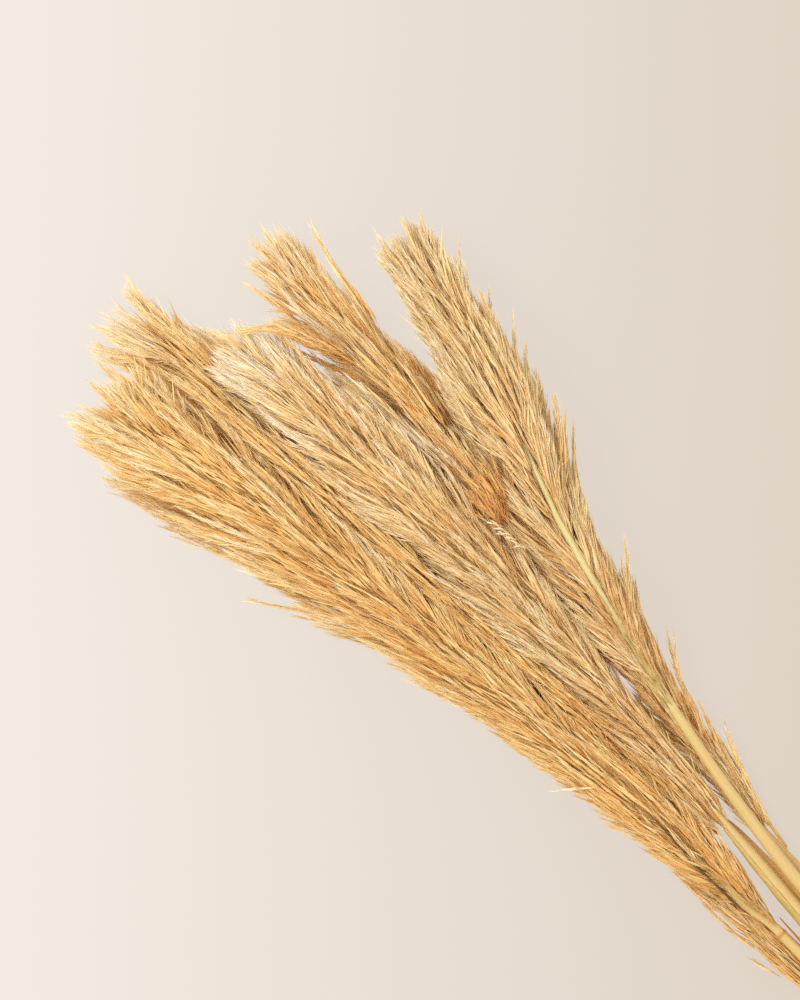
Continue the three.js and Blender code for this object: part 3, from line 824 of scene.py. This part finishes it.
plumeLooks = {
    "upper_right": {"deep": (210, 158, 88), "body": (229, 196, 137), "light": (234, 215, 164),
                    "pale": (237, 228, 205), "footShade": 0.5, "slot": "plume_tan"},
    "lower_right": {"deep": (220, 160, 82), "body": (237, 201, 132), "light": (241, 219, 163),
                    "pale": (240, 227, 195), "footShade": 0.5, "slot": "plume_brown"},
    "upper_middle": {"deep": (213, 160, 86), "body": (231, 196, 131), "light": (237, 217, 166),
                     "pale": (241, 232, 213), "footShade": 0.5, "slot": "plume_cream"},
    "lower_middle": {"deep": (218, 160, 80), "body": (238, 200, 126), "light": (242, 219, 159),
                     "pale": (241, 229, 197), "footShade": 0.5, "slot": "plume_gold"},
    "upper_left": {"deep": (214, 152, 70), "body": (233, 192, 119), "light": (237, 212, 151),
                   "pale": (240, 226, 187), "footShade": 0.5, "slot": "plume_gold"},
    "lower_left": {"deep": (210, 154, 80), "body": (226, 188, 122), "light": (232, 209, 154),
                   "pale": (237, 225, 195), "footShade": 0.5, "slot": "plume_brown"},
}
veilLooks = {
    "upper_right": {"deep": (178, 148, 86), "body": (212, 186, 124), "light": (230, 206, 148),
                    "pale": (243, 226, 184), "footShade": 0.4},
    "upper_left": {"deep": (172, 128, 68), "body": (208, 170, 102), "light": (228, 194, 128),
                   "pale": (243, 220, 168), "footShade": 0.4},
}
# very dark strands: painted shade for the groove between the upper left plume's tufts
shadeSeamLooks = {
    "upper_left": {"deep": (96, 68, 34), "body": (128, 92, 50), "light": (168, 126, 74), "pale": (198, 154, 96),
                   "footShade": 0.4},
}
# Stray locks that stand out of the plumes. Their branches start within scatter of the drawn line,
# and drift from it by up to fan.
strays = {
    "lower_right": [
        {"points": [(500, -48, 52), (521, -41, 74), (543, -31, 88), (561, -18, 93), (577, 5, 92)],
         "tone": 0.36, "loose": 1.3, "size": 0.9, "count": 10, "scatter": 5.0, "fan": 3.5},
        {"points": [(520, -46, 46), (540, -40, 60), (556, -34, 66), (566, -22, 64)],
         "tone": 0.46, "loose": 1.2, "size": 0.7, "count": 4, "scatter": 3.0, "fan": 5.0},
        {"points": [(490, -50, 40), (510, -42, 50), (532, -33, 53), (554, -24, 48)],
         "tone": 0.3, "loose": 1.1, "size": 0.8, "count": 7, "scatter": 4.0, "fan": 4.0},
        {"points": [(478, -46, 34), (500, -37, 42), (522, -29, 42), (540, -22, 38)],
         "tone": 0.32, "loose": 1.1, "size": 0.8, "count": 5, "scatter": 3.0, "fan": 4.0},
        {"points": [(545, -41, 38), (562, -38.5, 41), (578, -35, 41), (591, -31.5, 37)],
         "tone": 0.6, "loose": 0.8, "size": 0.8, "count": 4, "scatter": 2.5, "fan": 2.0},
        {"points": [(498, -76, 34), (543, -83, 40), (570, -88.5, 40), (589, -93, 37)],
         "tone": 0.6, "loose": 0.7, "size": 0.85, "count": 7, "scatter": 3.5, "fan": 2.0},
        {"points": [(36, -20, 7), (54, -25, 10), (74, -31, 13), (96, -38, 14)],
         "tone": 0.7, "loose": 0.5, "size": 0.75, "count": 7, "scatter": 1.4, "fan": 3.0},
        {"points": [(16, -19, 9), (38, -22, 10), (58, -27, 12), (82, -34, 13)],
         "tone": 0.66, "loose": 0.4, "size": 0.7, "count": 6, "scatter": 1.0, "fan": 2.5},
        {"points": [(66, -27, 12), (84, -34, 14), (104, -42, 14), (124, -50, 13)],
         "tone": 0.72, "loose": 0.5, "size": 0.75, "count": 6, "scatter": 2.0, "fan": 3.0},
        {"points": [(160, -46, 24), (174, -53, 27), (186, -60, 28), (197, -68, 26)],
         "tone": 0.6, "loose": 0.9, "size": 0.8, "count": 6, "scatter": 3.0, "fan": 5.0},
    ] + [
        {"points": [(x, -39.5, 83), (x + 5, -37, 85), (x + 9, -34.5, 84)],
         "tone": 0.93, "loose": 0.7, "size": 0.45, "count": 2, "scatter": 1.4, "fan": 1.5}
        for x in (318, 322, 327, 331, 336, 341)
    ],
    "upper_right": [
        {"points": [(x - 60, y + 46, 62), (x - 37, y + 32, 65), (x - 16, y + 15, 66), (x, y, 63)],
         "tone": 0.6, "loose": 0.55, "size": 0.85, "count": 7, "scatter": 4.0, "fan": 1.6}
        for x, y in ((506, -158), (464, -148), (438, -146), (425, -144), (395, -130), (377, -126),
                     (363, -121), (353, -121), (267, -89))
    ] + [
        {"points": [(498, -110, 60), (520, -114, 60), (536, -118, 56), (548, -121, 50)],
         "tone": 0.62, "loose": 0.8, "size": 0.9, "count": 8, "scatter": 3.5, "fan": 3.0},
    ],
    "upper_middle": [
        {"points": [(64, 5, 23), (80, 8, 27), (102, 11, 31), (126, 15, 34)],
         "tone": 0.55, "loose": 0.6, "size": 0.8, "count": 10, "scatter": 3.0, "fan": 3.0},
    ],
    "lower_middle": [
        {"points": [(60, 6, 11), (80, 11, 15), (104, 16, 19), (132, 20, 24)],
         "tone": 0.34, "loose": 0.6, "size": 0.8, "count": 12, "scatter": 3.5, "fan": 3.0},
    ],
    "upper_left": [
        {"points": [(158, 41, 62), (165, 49, 60), (172, 58, 52), (179, 67, 43)],
         "tone": 0.92, "loose": 0.2, "size": 0.8, "count": 3, "scatter": 0.8, "fan": 0.8},
    ],
    "lower_left": [
        {"points": [(366, 80, 34), (386, 96, 36), (410, 113, 34), (430, 127, 28)],
         "tone": 0.62, "loose": 0.9, "size": 0.8, "count": 4, "scatter": 3.0, "fan": 3.0},
        {"points": [(-18, 46, 9), (4, 50, 11), (26, 52, 12), (56, 52, 12)],
         "tone": 0.55, "loose": 0.45, "size": 0.8, "count": 5, "scatter": 1.5, "fan": 2.0},
        {"points": [(-42, 48, 7), (-32, 51, 8), (-22, 54, 9), (-11, 56, 8)],
         "tone": 0.6, "loose": 0.4, "size": 0.7, "count": 3, "scatter": 1.0, "fan": 1.5},
    ],
}


def strayRuns(node, random):
    runs = []
    for stray in strays.get(node, []):
        points = np.array(stray["points"], float)
        t = pathShares
        steps = np.linspace(0, 1, len(points))
        middle = np.stack([np.interp(t, steps, points[:, k]) for k in range(3)], 1)
        for _ in range(stray["count"]):
            push = random.uniform(-1, 1, 3) * stray["scatter"]
            fan = random.uniform(-1, 1, 3) * stray["fan"]
            path = middle + push * (1 - t[:, None]) + fan * t[:, None] ** 2
            path = path[:random.randint(5, 8)]
            runs.append((path, stray["tone"] + random.uniform(-0.1, 0.1),
                         stray["loose"], stray["size"], 1.0, 1.0))
    return runs


def heartMesh(one, name):
    # tapering ridged spindle well inside the plume
    sides = 26
    start, end = one["neck"] + 2, one["tip"] - 26
    x = np.linspace(start, end, int((end - start) / 9))
    share = (x - start) / (end - start)
    full = 0.5 * np.minimum(1, 0.35 + share * 9) * np.sqrt(np.clip((1 - share) * 9, 0.02, 1))
    y, z, a, b, _, _ = section(one, x)
    rows, k = len(x), np.arange(sides)
    angle = 2 * math.pi * k / sides
    wave = (1 + 0.10 * np.sin(5 * angle[None, :] + 0.045 * x[:, None])
            + 0.06 * np.sin(9 * angle[None, :] - 0.11 * x[:, None] + one["seed"]))
    reach = full[:, None] * wave
    a = a * np.minimum(fullness(one, x, np.ones(rows)), fullness(one, x, -np.ones(rows)))
    ringY = y[:, None] + a[:, None] * reach * np.cos(angle)
    ringZ = z[:, None] + b[:, None] * reach * np.sin(angle)
    ringX = np.repeat(x[:, None], sides, 1)
    points = settle(one, np.stack([ringX, ringY, ringZ], 2).reshape(-1, 3), stemGap=1.5, plumeGap=2.0)
    ends = np.array([[x[0] - 1, y[0], z[0]], [x[-1] + 4, y[-1], z[-1]]])
    faces = tubeFaces(rows, sides)
    first, last = rows * sides, rows * sides + 1
    for s in range(sides):
        n = (s + 1) % sides
        faces.append((first, n, s))
        faces.append((last, (rows - 1) * sides + s, (rows - 1) * sides + n))
    mesh = newMesh(name, np.concatenate([points, ends]), [], faces)
    mesh.shade_smooth()
    # which way the plume runs at each point
    ahead = np.stack([np.ones(rows), np.gradient(y, x), np.gradient(z, x)], 1)
    ahead /= np.linalg.norm(ahead, axis=1)[:, None]
    course = np.concatenate([np.repeat(ahead, sides, 0), ahead[[0, -1]]]).astype(np.float32)
    mesh.attributes.new("course", "FLOAT_VECTOR", "POINT").data.foreach_set("vector", course.ravel())
    return linked(name, mesh)


def camel(node):
    first, *rest = node.split("_")
    return first + "".join(word.capitalize() for word in rest)


def triangles(piece):
    return sum(len(face.vertices) - 2 for face in piece.data.polygons)


seedShape = spikeletShape()
fluff = fluffTree(strandPassTree(), underFluffTree())
total = 0
for one in bunch:
    node = one["node"]
    looks = plumeLooks[node]
    name = camel(node)
    runs = branchesOf(one)
    loose = fillsOf(one) + strayRuns(node, np.random.RandomState(one["seed"] + 5))
    branches = meshFromRuns(name + "Fluff", runs, loose, one)
    heart = heartMesh(one, name + "Heart")
    values = strandSizes | {
        "Seed Shape": seedShape, "Seed": one["seed"] * 3, "Heart": heart,
        "Under Tone": 0.44 + one["toneShift"], "Material": fluffMaterial(name + "Strands", looks)}
    pieces = [withNodes(branches, fluff, values)]
    values["Under Density"] = 0.0
    if "veils" in one:
        values["Material"] = fluffMaterial(name + "Khaki", veilLooks[node])
        pieces.append(withNodes(meshFromRuns(name + "Veil", [], veilOf(one), one), fluff, values))
    # a seam of dark strands: painted shade along the groove between the upper left plume's tufts
    if "seams" in one:
        values["Material"] = fluffMaterial(name + "Shaded", shadeSeamLooks[node])
        pieces.append(withNodes(meshFromRuns(name + "Seam", [], fillsOf(one, "seams"), one), fluff, values))
    for piece in pieces:
        offTheFloor(piece)
        piece.data.shade_flat()
        for key in ("shade", "side", "part", "reached", "course", "breadth", *runColumns):
            if key in piece.data.attributes:
                piece.data.attributes.remove(piece.data.attributes[key])
    heart.data.attributes.remove(heart.data.attributes["course"])
    heart.data.materials.append(heartMaterial(name + "Inner", looks))
    for piece in pieces + [heart]:
        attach(piece, "root")
        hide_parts(node + "_plume")
        total += triangles(piece)
    counts = ", ".join(f"{piece.name} {triangles(piece)}" for piece in pieces + [heart])
    print(f"{name}: {len(runs)} branches, {counts}")


# Stems.

caneLooks = {
    "upper_right": {"pale": (219, 190, 126), "deep": (196, 160, 95), "slot": "stem_green"},
    "lower_right": {"pale": (218, 180, 108), "deep": (196, 150, 79), "slot": "stem_pale"},
    "upper_middle": {"pale": (221, 193, 130), "deep": (197, 162, 95), "slot": "stem_pale"},
    "lower_middle": {"pale": (226, 181, 106), "deep": (204, 154, 82), "slot": "stem_orange"},
    "upper_left": {"pale": (218, 188, 120), "deep": (192, 153, 84), "slot": "stem_pale"},
    "lower_left": {"pale": (214, 181, 112), "deep": (188, 145, 78), "slot": "stem_pale"},
}


def caneTree():
    tree, given, result = newTree("caneAlongPath", "GeometryNodeTree", [
        ("Path", "NodeSocketGeometry"), ("Sides", "NodeSocketInt", 20),
        ("Fibre Length", "NodeSocketFloat", 0.05),
        ("Material", "NodeSocketMaterial")], [("Cane", "NodeSocketGeometry")])
    g = given.outputs
    curves = addNode(tree, "GeometryNodeMeshToCurve", {"Mesh": g["Path"]}).outputs[0]
    run = addNode(tree, "GeometryNodeSplineParameter").outputs["Length"]
    marked = stored(tree, curves, "run", run)
    ring = addNode(tree, "GeometryNodeCurvePrimitiveCircle", {"Resolution": g["Sides"], "Radius": 1.0},
                   mode="RADIUS").outputs[0]
    face = addNode(tree, "GeometryNodeInputPosition").outputs[0]
    profile = stored(tree, ring, "facing", face, "FLOAT_VECTOR")
    tube = addNode(tree, "GeometryNodeCurveToMesh",
                   {"Curve": marked, "Profile Curve": profile, "Scale": named(tree, "girth"),
                    "Fill Caps": True}).outputs[0]
    facing = parts(tree, named(tree, "facing", "FLOAT_VECTOR"))
    lengthwise = calc(tree, "DIVIDE", named(tree, "run"), g["Fibre Length"])
    place = joined(tree, facing["X"], facing["Y"], lengthwise)
    mapped = stored(tree, tube, "fibre", place, "FLOAT_VECTOR")
    coated = addNode(tree, "GeometryNodeSetMaterial",
                     {"Geometry": mapped, "Material": g["Material"]}).outputs[0]
    tree.links.new(coated, result.inputs[0])
    return tree


def caneMaterial(name, looks):
    material, tree, shader = newMaterial(name)
    place = addNode(tree, "ShaderNodeAttribute", attribute_name="fibre").outputs["Vector"]
    fibre = addNode(tree, "ShaderNodeGroup", {"Place": place}, node_tree=stalkFibre)
    soft = calc(tree, "MULTIPLY", fibre.outputs["Streak"], 0.55)
    colour = mixed(tree, soft, linear(looks["pale"]), linear(looks["deep"]))
    for attribute, tint in (("unripe", (216, 203, 143)), ("jointNear", (186, 130, 70))):
        share = addNode(tree, "ShaderNodeAttribute", attribute_name=attribute).outputs["Fac"]
        colour = mixed(tree, share, colour, linear(tint))
    rough = ranged(tree, fibre.outputs["Blotch"], 0.0, 1.0, 0.38, 0.55)
    bump = addNode(tree, "ShaderNodeBump", {"Height": fibre.outputs["Streak"], "Strength": 0.35,
                                            "Distance": 0.0004})
    tree.links.new(colour, shader.inputs["Base Color"])
    tree.links.new(rough, shader.inputs["Roughness"])
    tree.links.new(bump.outputs[0], shader.inputs["Normal"])
    return material


def caneLine(one, x):
    # middle and radius; stout and bow swell the visible stem just below its plume and set it over
    swell = np.exp(-((x - one["neck"] + 32) / 55) ** 2)
    return (along(one["sway"], x) + one.get("bow", 0) * swell, along(one["rise"], x),
            stemRadius(one, x) + one.get("stout", 0) * swell)


def canePath(one):
    # middle line, girth and nearness to a joint, from the cut end to the neck or the rachis's end
    stops = list(np.arange(one["cut"], one["neck"] - 2, 8.0)) + [one["neck"] - 0.2]
    for joint in one["joints"] + one.get("collars", []):
        stops += [joint + step for step in (-4, -2, -0.8, 0, 0.8, 2, 4)]
    x = np.array(sorted(stops))
    x = x[np.concatenate([[True], np.diff(x) > 0.5])]
    y, z, girth = caneLine(one, x)
    girth = girth * coverStem
    near = np.zeros(len(x))
    for joint in one["joints"]:
        girth += 0.42 * np.exp(-((x - joint) / 1.6) ** 2)
        near = np.maximum(near, np.exp(-((x - joint - 0.6) / 1.3) ** 2))
    for collar in one.get("collars", []):
        girth += 0.5 * np.exp(-((x - collar) / 2.0) ** 2)
    if "rachis" in one:
        rachis = one["rachis"]
        join = np.clip((x - one["neck"] + 90) / 90, 0, 1)
        girth += (rachis["root"] + 0.4 - one["neckRadius"] * coverStem) * join * join * (3 - 2 * join)
        far = rachis["end"] + 14
        more = np.arange(one["neck"] + 6, far, 7.0)
        bareY, bareZ, _, _, _, _ = rachisSection(one, more)
        share = np.clip((more - one["neck"]) / (far - one["neck"]), 0, 1)
        thick = rachis["root"] * (1 - share ** rachis["fade"]) + 0.4
        bareZ = bareZ - rachis["dive"] * share ** rachis["diveRate"]
    else:
        # the stem goes on inside the plume, thinning out
        more = np.arange(one["neck"] + 5, one["neck"] + 75, 7.0)
        bareY, bareZ, thick = caneLine(one, more)
        thick = thick * (1 - (more - one["neck"]) / 90)
    x, y, z = np.concatenate([x, more]), np.concatenate([y, bareY]), np.concatenate([z, bareZ])
    girth, near = np.concatenate([girth, thick]), np.concatenate([near, 0 * more])
    green = one.get("green", 0.25) * np.clip((x - one["neck"] + 60) / 150, 0, 1)
    return np.stack([x, y, np.maximum(z, girth)], 1), girth, near, green


cane = caneTree()
for one in bunch:
    node = one["node"]
    looks = caneLooks[node]
    name = camel(node) + "Cane"
    points, girth, near, green = canePath(one)
    mesh = newMesh(name, points, [(k, k + 1) for k in range(len(points) - 1)], [])
    for key, values in (("girth", girth * mm), ("jointNear", near), ("unripe", green)):
        setValues(mesh, key, values)
    piece = withNodes(linked(name, mesh), cane, {"Sides": 22, "Fibre Length": 0.3,
                                                 "Material": caneMaterial(name + "Skin", looks)})
    piece.data.shade_smooth()
    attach(piece, "root")
    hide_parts(node + "_stem")
    total += triangles(piece)
    print(f"{name}: {triangles(piece)} triangles")


# Blades that lie along a stem: a dead leaf on the upper left one, a leaf sheath on the upper middle one.
# turn is the side of the stem they lie on: 90 degrees is on top.

blades = {
    "upperLeftLeaf": {
        "stalk": upperLeft, "foot": -168, "tip": -2, "halfWidth": 2.6, "halfThickness": 0.5,
        "freeFrom": -90, "freeLift": 3.4, "turn": [(-168, 135), (-90, 135), (-46, 146), (-2, 157)],
        "curl": 0.275, "taper": 0.55, "taperFrom": 0.7, "rings": 48,
        "dark": (150, 92, 46), "bright": (196, 138, 76),
        "replaces": "upper_left_leaf", "slot": "dead_leaf"},
    "upperMiddleSheath": {
        "stalk": upperMiddle, "foot": -336, "tip": 72, "halfWidth": 4.0, "halfThickness": 0.45,
        "turn": [(-336, 64), (-250, 62), (-150, 42), (72, 38)],
        "curl": 1.1, "taper": 0.5, "taperFrom": 0.8, "rings": 90,
        "dark": (188, 160, 86), "bright": (222, 196, 122),
        "replaces": "upper_middle_stem", "slot": "stem_pale"},
}


def bladeMesh(name, look):
    one = look["stalk"]
    share = np.linspace(0, 1, look["rings"])
    x = look["foot"] + (look["tip"] - look["foot"]) * share
    thick = look["halfThickness"]
    middleY, middleZ, radius = caneLine(one, x)
    off = radius + 0.4 + thick
    if "freeLift" in look:
        free = np.maximum(0, (x - look["freeFrom"]) / (look["tip"] - look["freeFrom"]))
        off = off + look["freeLift"] * free ** 2
    turn = np.radians(along(look["turn"], x))
    taper = 1 - look["taper"] * np.maximum(0, share - look["taperFrom"]) / (1 - look["taperFrom"])
    half = look["halfWidth"] * np.where(share < 0.2, 0.7 + 1.5 * share, taper)
    half = half * (1 + 0.08 * np.sin(x * 0.21)) * np.where(share > 0.97, 0.75, 1)
    y0, z0 = middleY + off * np.cos(turn), middleZ + off * np.sin(turn)
    points, sides = [], 14
    for k in range(sides):
        angle = 2 * math.pi * k / sides
        wide, deep = math.cos(angle), math.sin(angle)
        ridge = 0.16 * math.cos(angle * 6)
        through = thick * (0.62 * deep * (1 + ridge)) - look["curl"] * wide ** 2
        points.append(np.stack([x, y0 + half * wide * np.sin(turn) + through * np.cos(turn),
                                z0 - half * wide * np.cos(turn) + through * np.sin(turn)], 1))
    grid = np.stack(points, 1).reshape(-1, 3)
    rows = len(x)
    faces = tubeFaces(rows, sides)
    faces += [tuple(range(sides))[::-1], tuple((rows - 1) * sides + k for k in range(sides))]
    mesh = newMesh(name, grid, [], faces)
    mesh.shade_smooth()
    return mesh


def bladeMaterial(name, look):
    material, tree, shader = newMaterial(name)
    place = addNode(tree, "ShaderNodeTexCoord").outputs["Object"]
    drawn = addNode(tree, "ShaderNodeMapping", {"Vector": place, "Scale": (40, 900, 900)}).outputs[0]
    fibre = addNode(tree, "ShaderNodeGroup", {"Place": drawn, "Scale": 1.0}, node_tree=stalkFibre)
    colour = mixed(tree, fibre.outputs["Streak"], linear(look["dark"]), linear(look["bright"]))
    bump = addNode(tree, "ShaderNodeBump", {"Height": fibre.outputs["Streak"], "Strength": 0.6,
                                            "Distance": 0.0004})
    tree.links.new(colour, shader.inputs["Base Color"])
    tree.links.new(bump.outputs[0], shader.inputs["Normal"])
    shader.inputs["Roughness"].default_value = 0.6
    return material


for name, look in blades.items():
    blade = linked(name, bladeMesh(name, look))
    blade.data.materials.append(bladeMaterial(name + "Skin", look))
    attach(blade, "root")
    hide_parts(look["replaces"])
    total += triangles(blade)
    print(f"{name}: {triangles(blade)} triangles")
print(f"{total} triangles in all")


# Floor, light and camera. The floor is a pale paper that glows, so that it stays even under one lamp.

studio = {
    "floorColour": (66, 64, 62), "floorSize": 14.0, "glow": 0.92,
    "glowNear": (246, 239, 231), "glowFar": (218, 205, 192),
    "worldColour": (255, 250, 244), "worldStrength": 1.05,
    "keyPlace": (1.05, 0.45, 1.9), "keySize": 0.8, "keyPower": 22, "keyColour": (1.0, 0.96, 0.9),
    "middle": (0.2488, 0.0065, 0.045), "frameHeight": 0.72, "lens": 120, "cameraTurn": 225,
}


def floorMaterial(look):
    material, tree, shader = newMaterial("paperFloor")
    place = addNode(tree, "ShaderNodeTexCoord").outputs["Object"]
    grain = addNode(tree, "ShaderNodeTexNoise", {"Vector": place, "Scale": 3.0, "Detail": 3.0})
    colour = mixed(tree, grain.outputs[0], linear(look["floorColour"]),
                   linear(tuple(c - 2 for c in look["floorColour"])))
    # painted light falloff: the glow is a little darker on one side, away from the lamp
    turned = addNode(tree, "ShaderNodeMapping", {"Vector": place,
                                                 "Rotation": (0, 0, math.radians(-45))}).outputs[0]
    share = calc(tree, "POWER", ranged(tree, parts(tree, turned)["X"], 0.55, -0.2), 0.8)
    lit = mixed(tree, share, linear(look["glowNear"]), linear(look["glowFar"]))
    tree.links.new(colour, shader.inputs["Base Color"])
    tree.links.new(lit, shader.inputs["Emission Color"])
    shader.inputs["Emission Strength"].default_value = look["glow"]
    shader.inputs["Roughness"].default_value = 0.85
    shader.inputs["Specular IOR Level"].default_value = 0.2
    return material


half = studio["floorSize"] / 2
floorMesh = bpy.data.meshes.new("floor")
floorMesh.from_pydata([(-half, -half, 0), (half, -half, 0), (half, half, 0), (-half, half, 0)], [],
                      [(0, 1, 2, 3)])
floorMesh.materials.append(floorMaterial(studio))
floor = linked("floor", floorMesh)

world = bpy.data.worlds.new("studio")
world.use_nodes = True
sky = world.node_tree.nodes["Background"]
sky.inputs["Color"].default_value = linear(studio["worldColour"])
sky.inputs["Strength"].default_value = studio["worldStrength"]
bpy.context.scene.world = world

middle = Vector(studio["middle"])
lamp = bpy.data.lights.new("key", "AREA")
lamp.size, lamp.energy, lamp.color = studio["keySize"], studio["keyPower"], studio["keyColour"]
stand = linked("key", lamp)
stand.location = studio["keyPlace"]
stand.rotation_euler = (middle - stand.location).to_track_quat("-Z", "Y").to_euler()
stand.visible_camera = False

camera = linked("camera", bpy.data.cameras.new("camera"))
camera.data.lens = studio["lens"]
camera.location = middle + Vector((0, 0, studio["frameHeight"] * studio["lens"] / camera.data.sensor_width))
camera.rotation_euler = (0, 0, math.radians(studio["cameraTurn"]))
scene = bpy.context.scene
scene.camera = camera
scene.view_settings.view_transform = "Standard"
# the denoiser smears the strands, and with fewer bounces the crevices turn grey
scene.cycles.use_denoising = False
scene.cycles.diffuse_bounces = 8
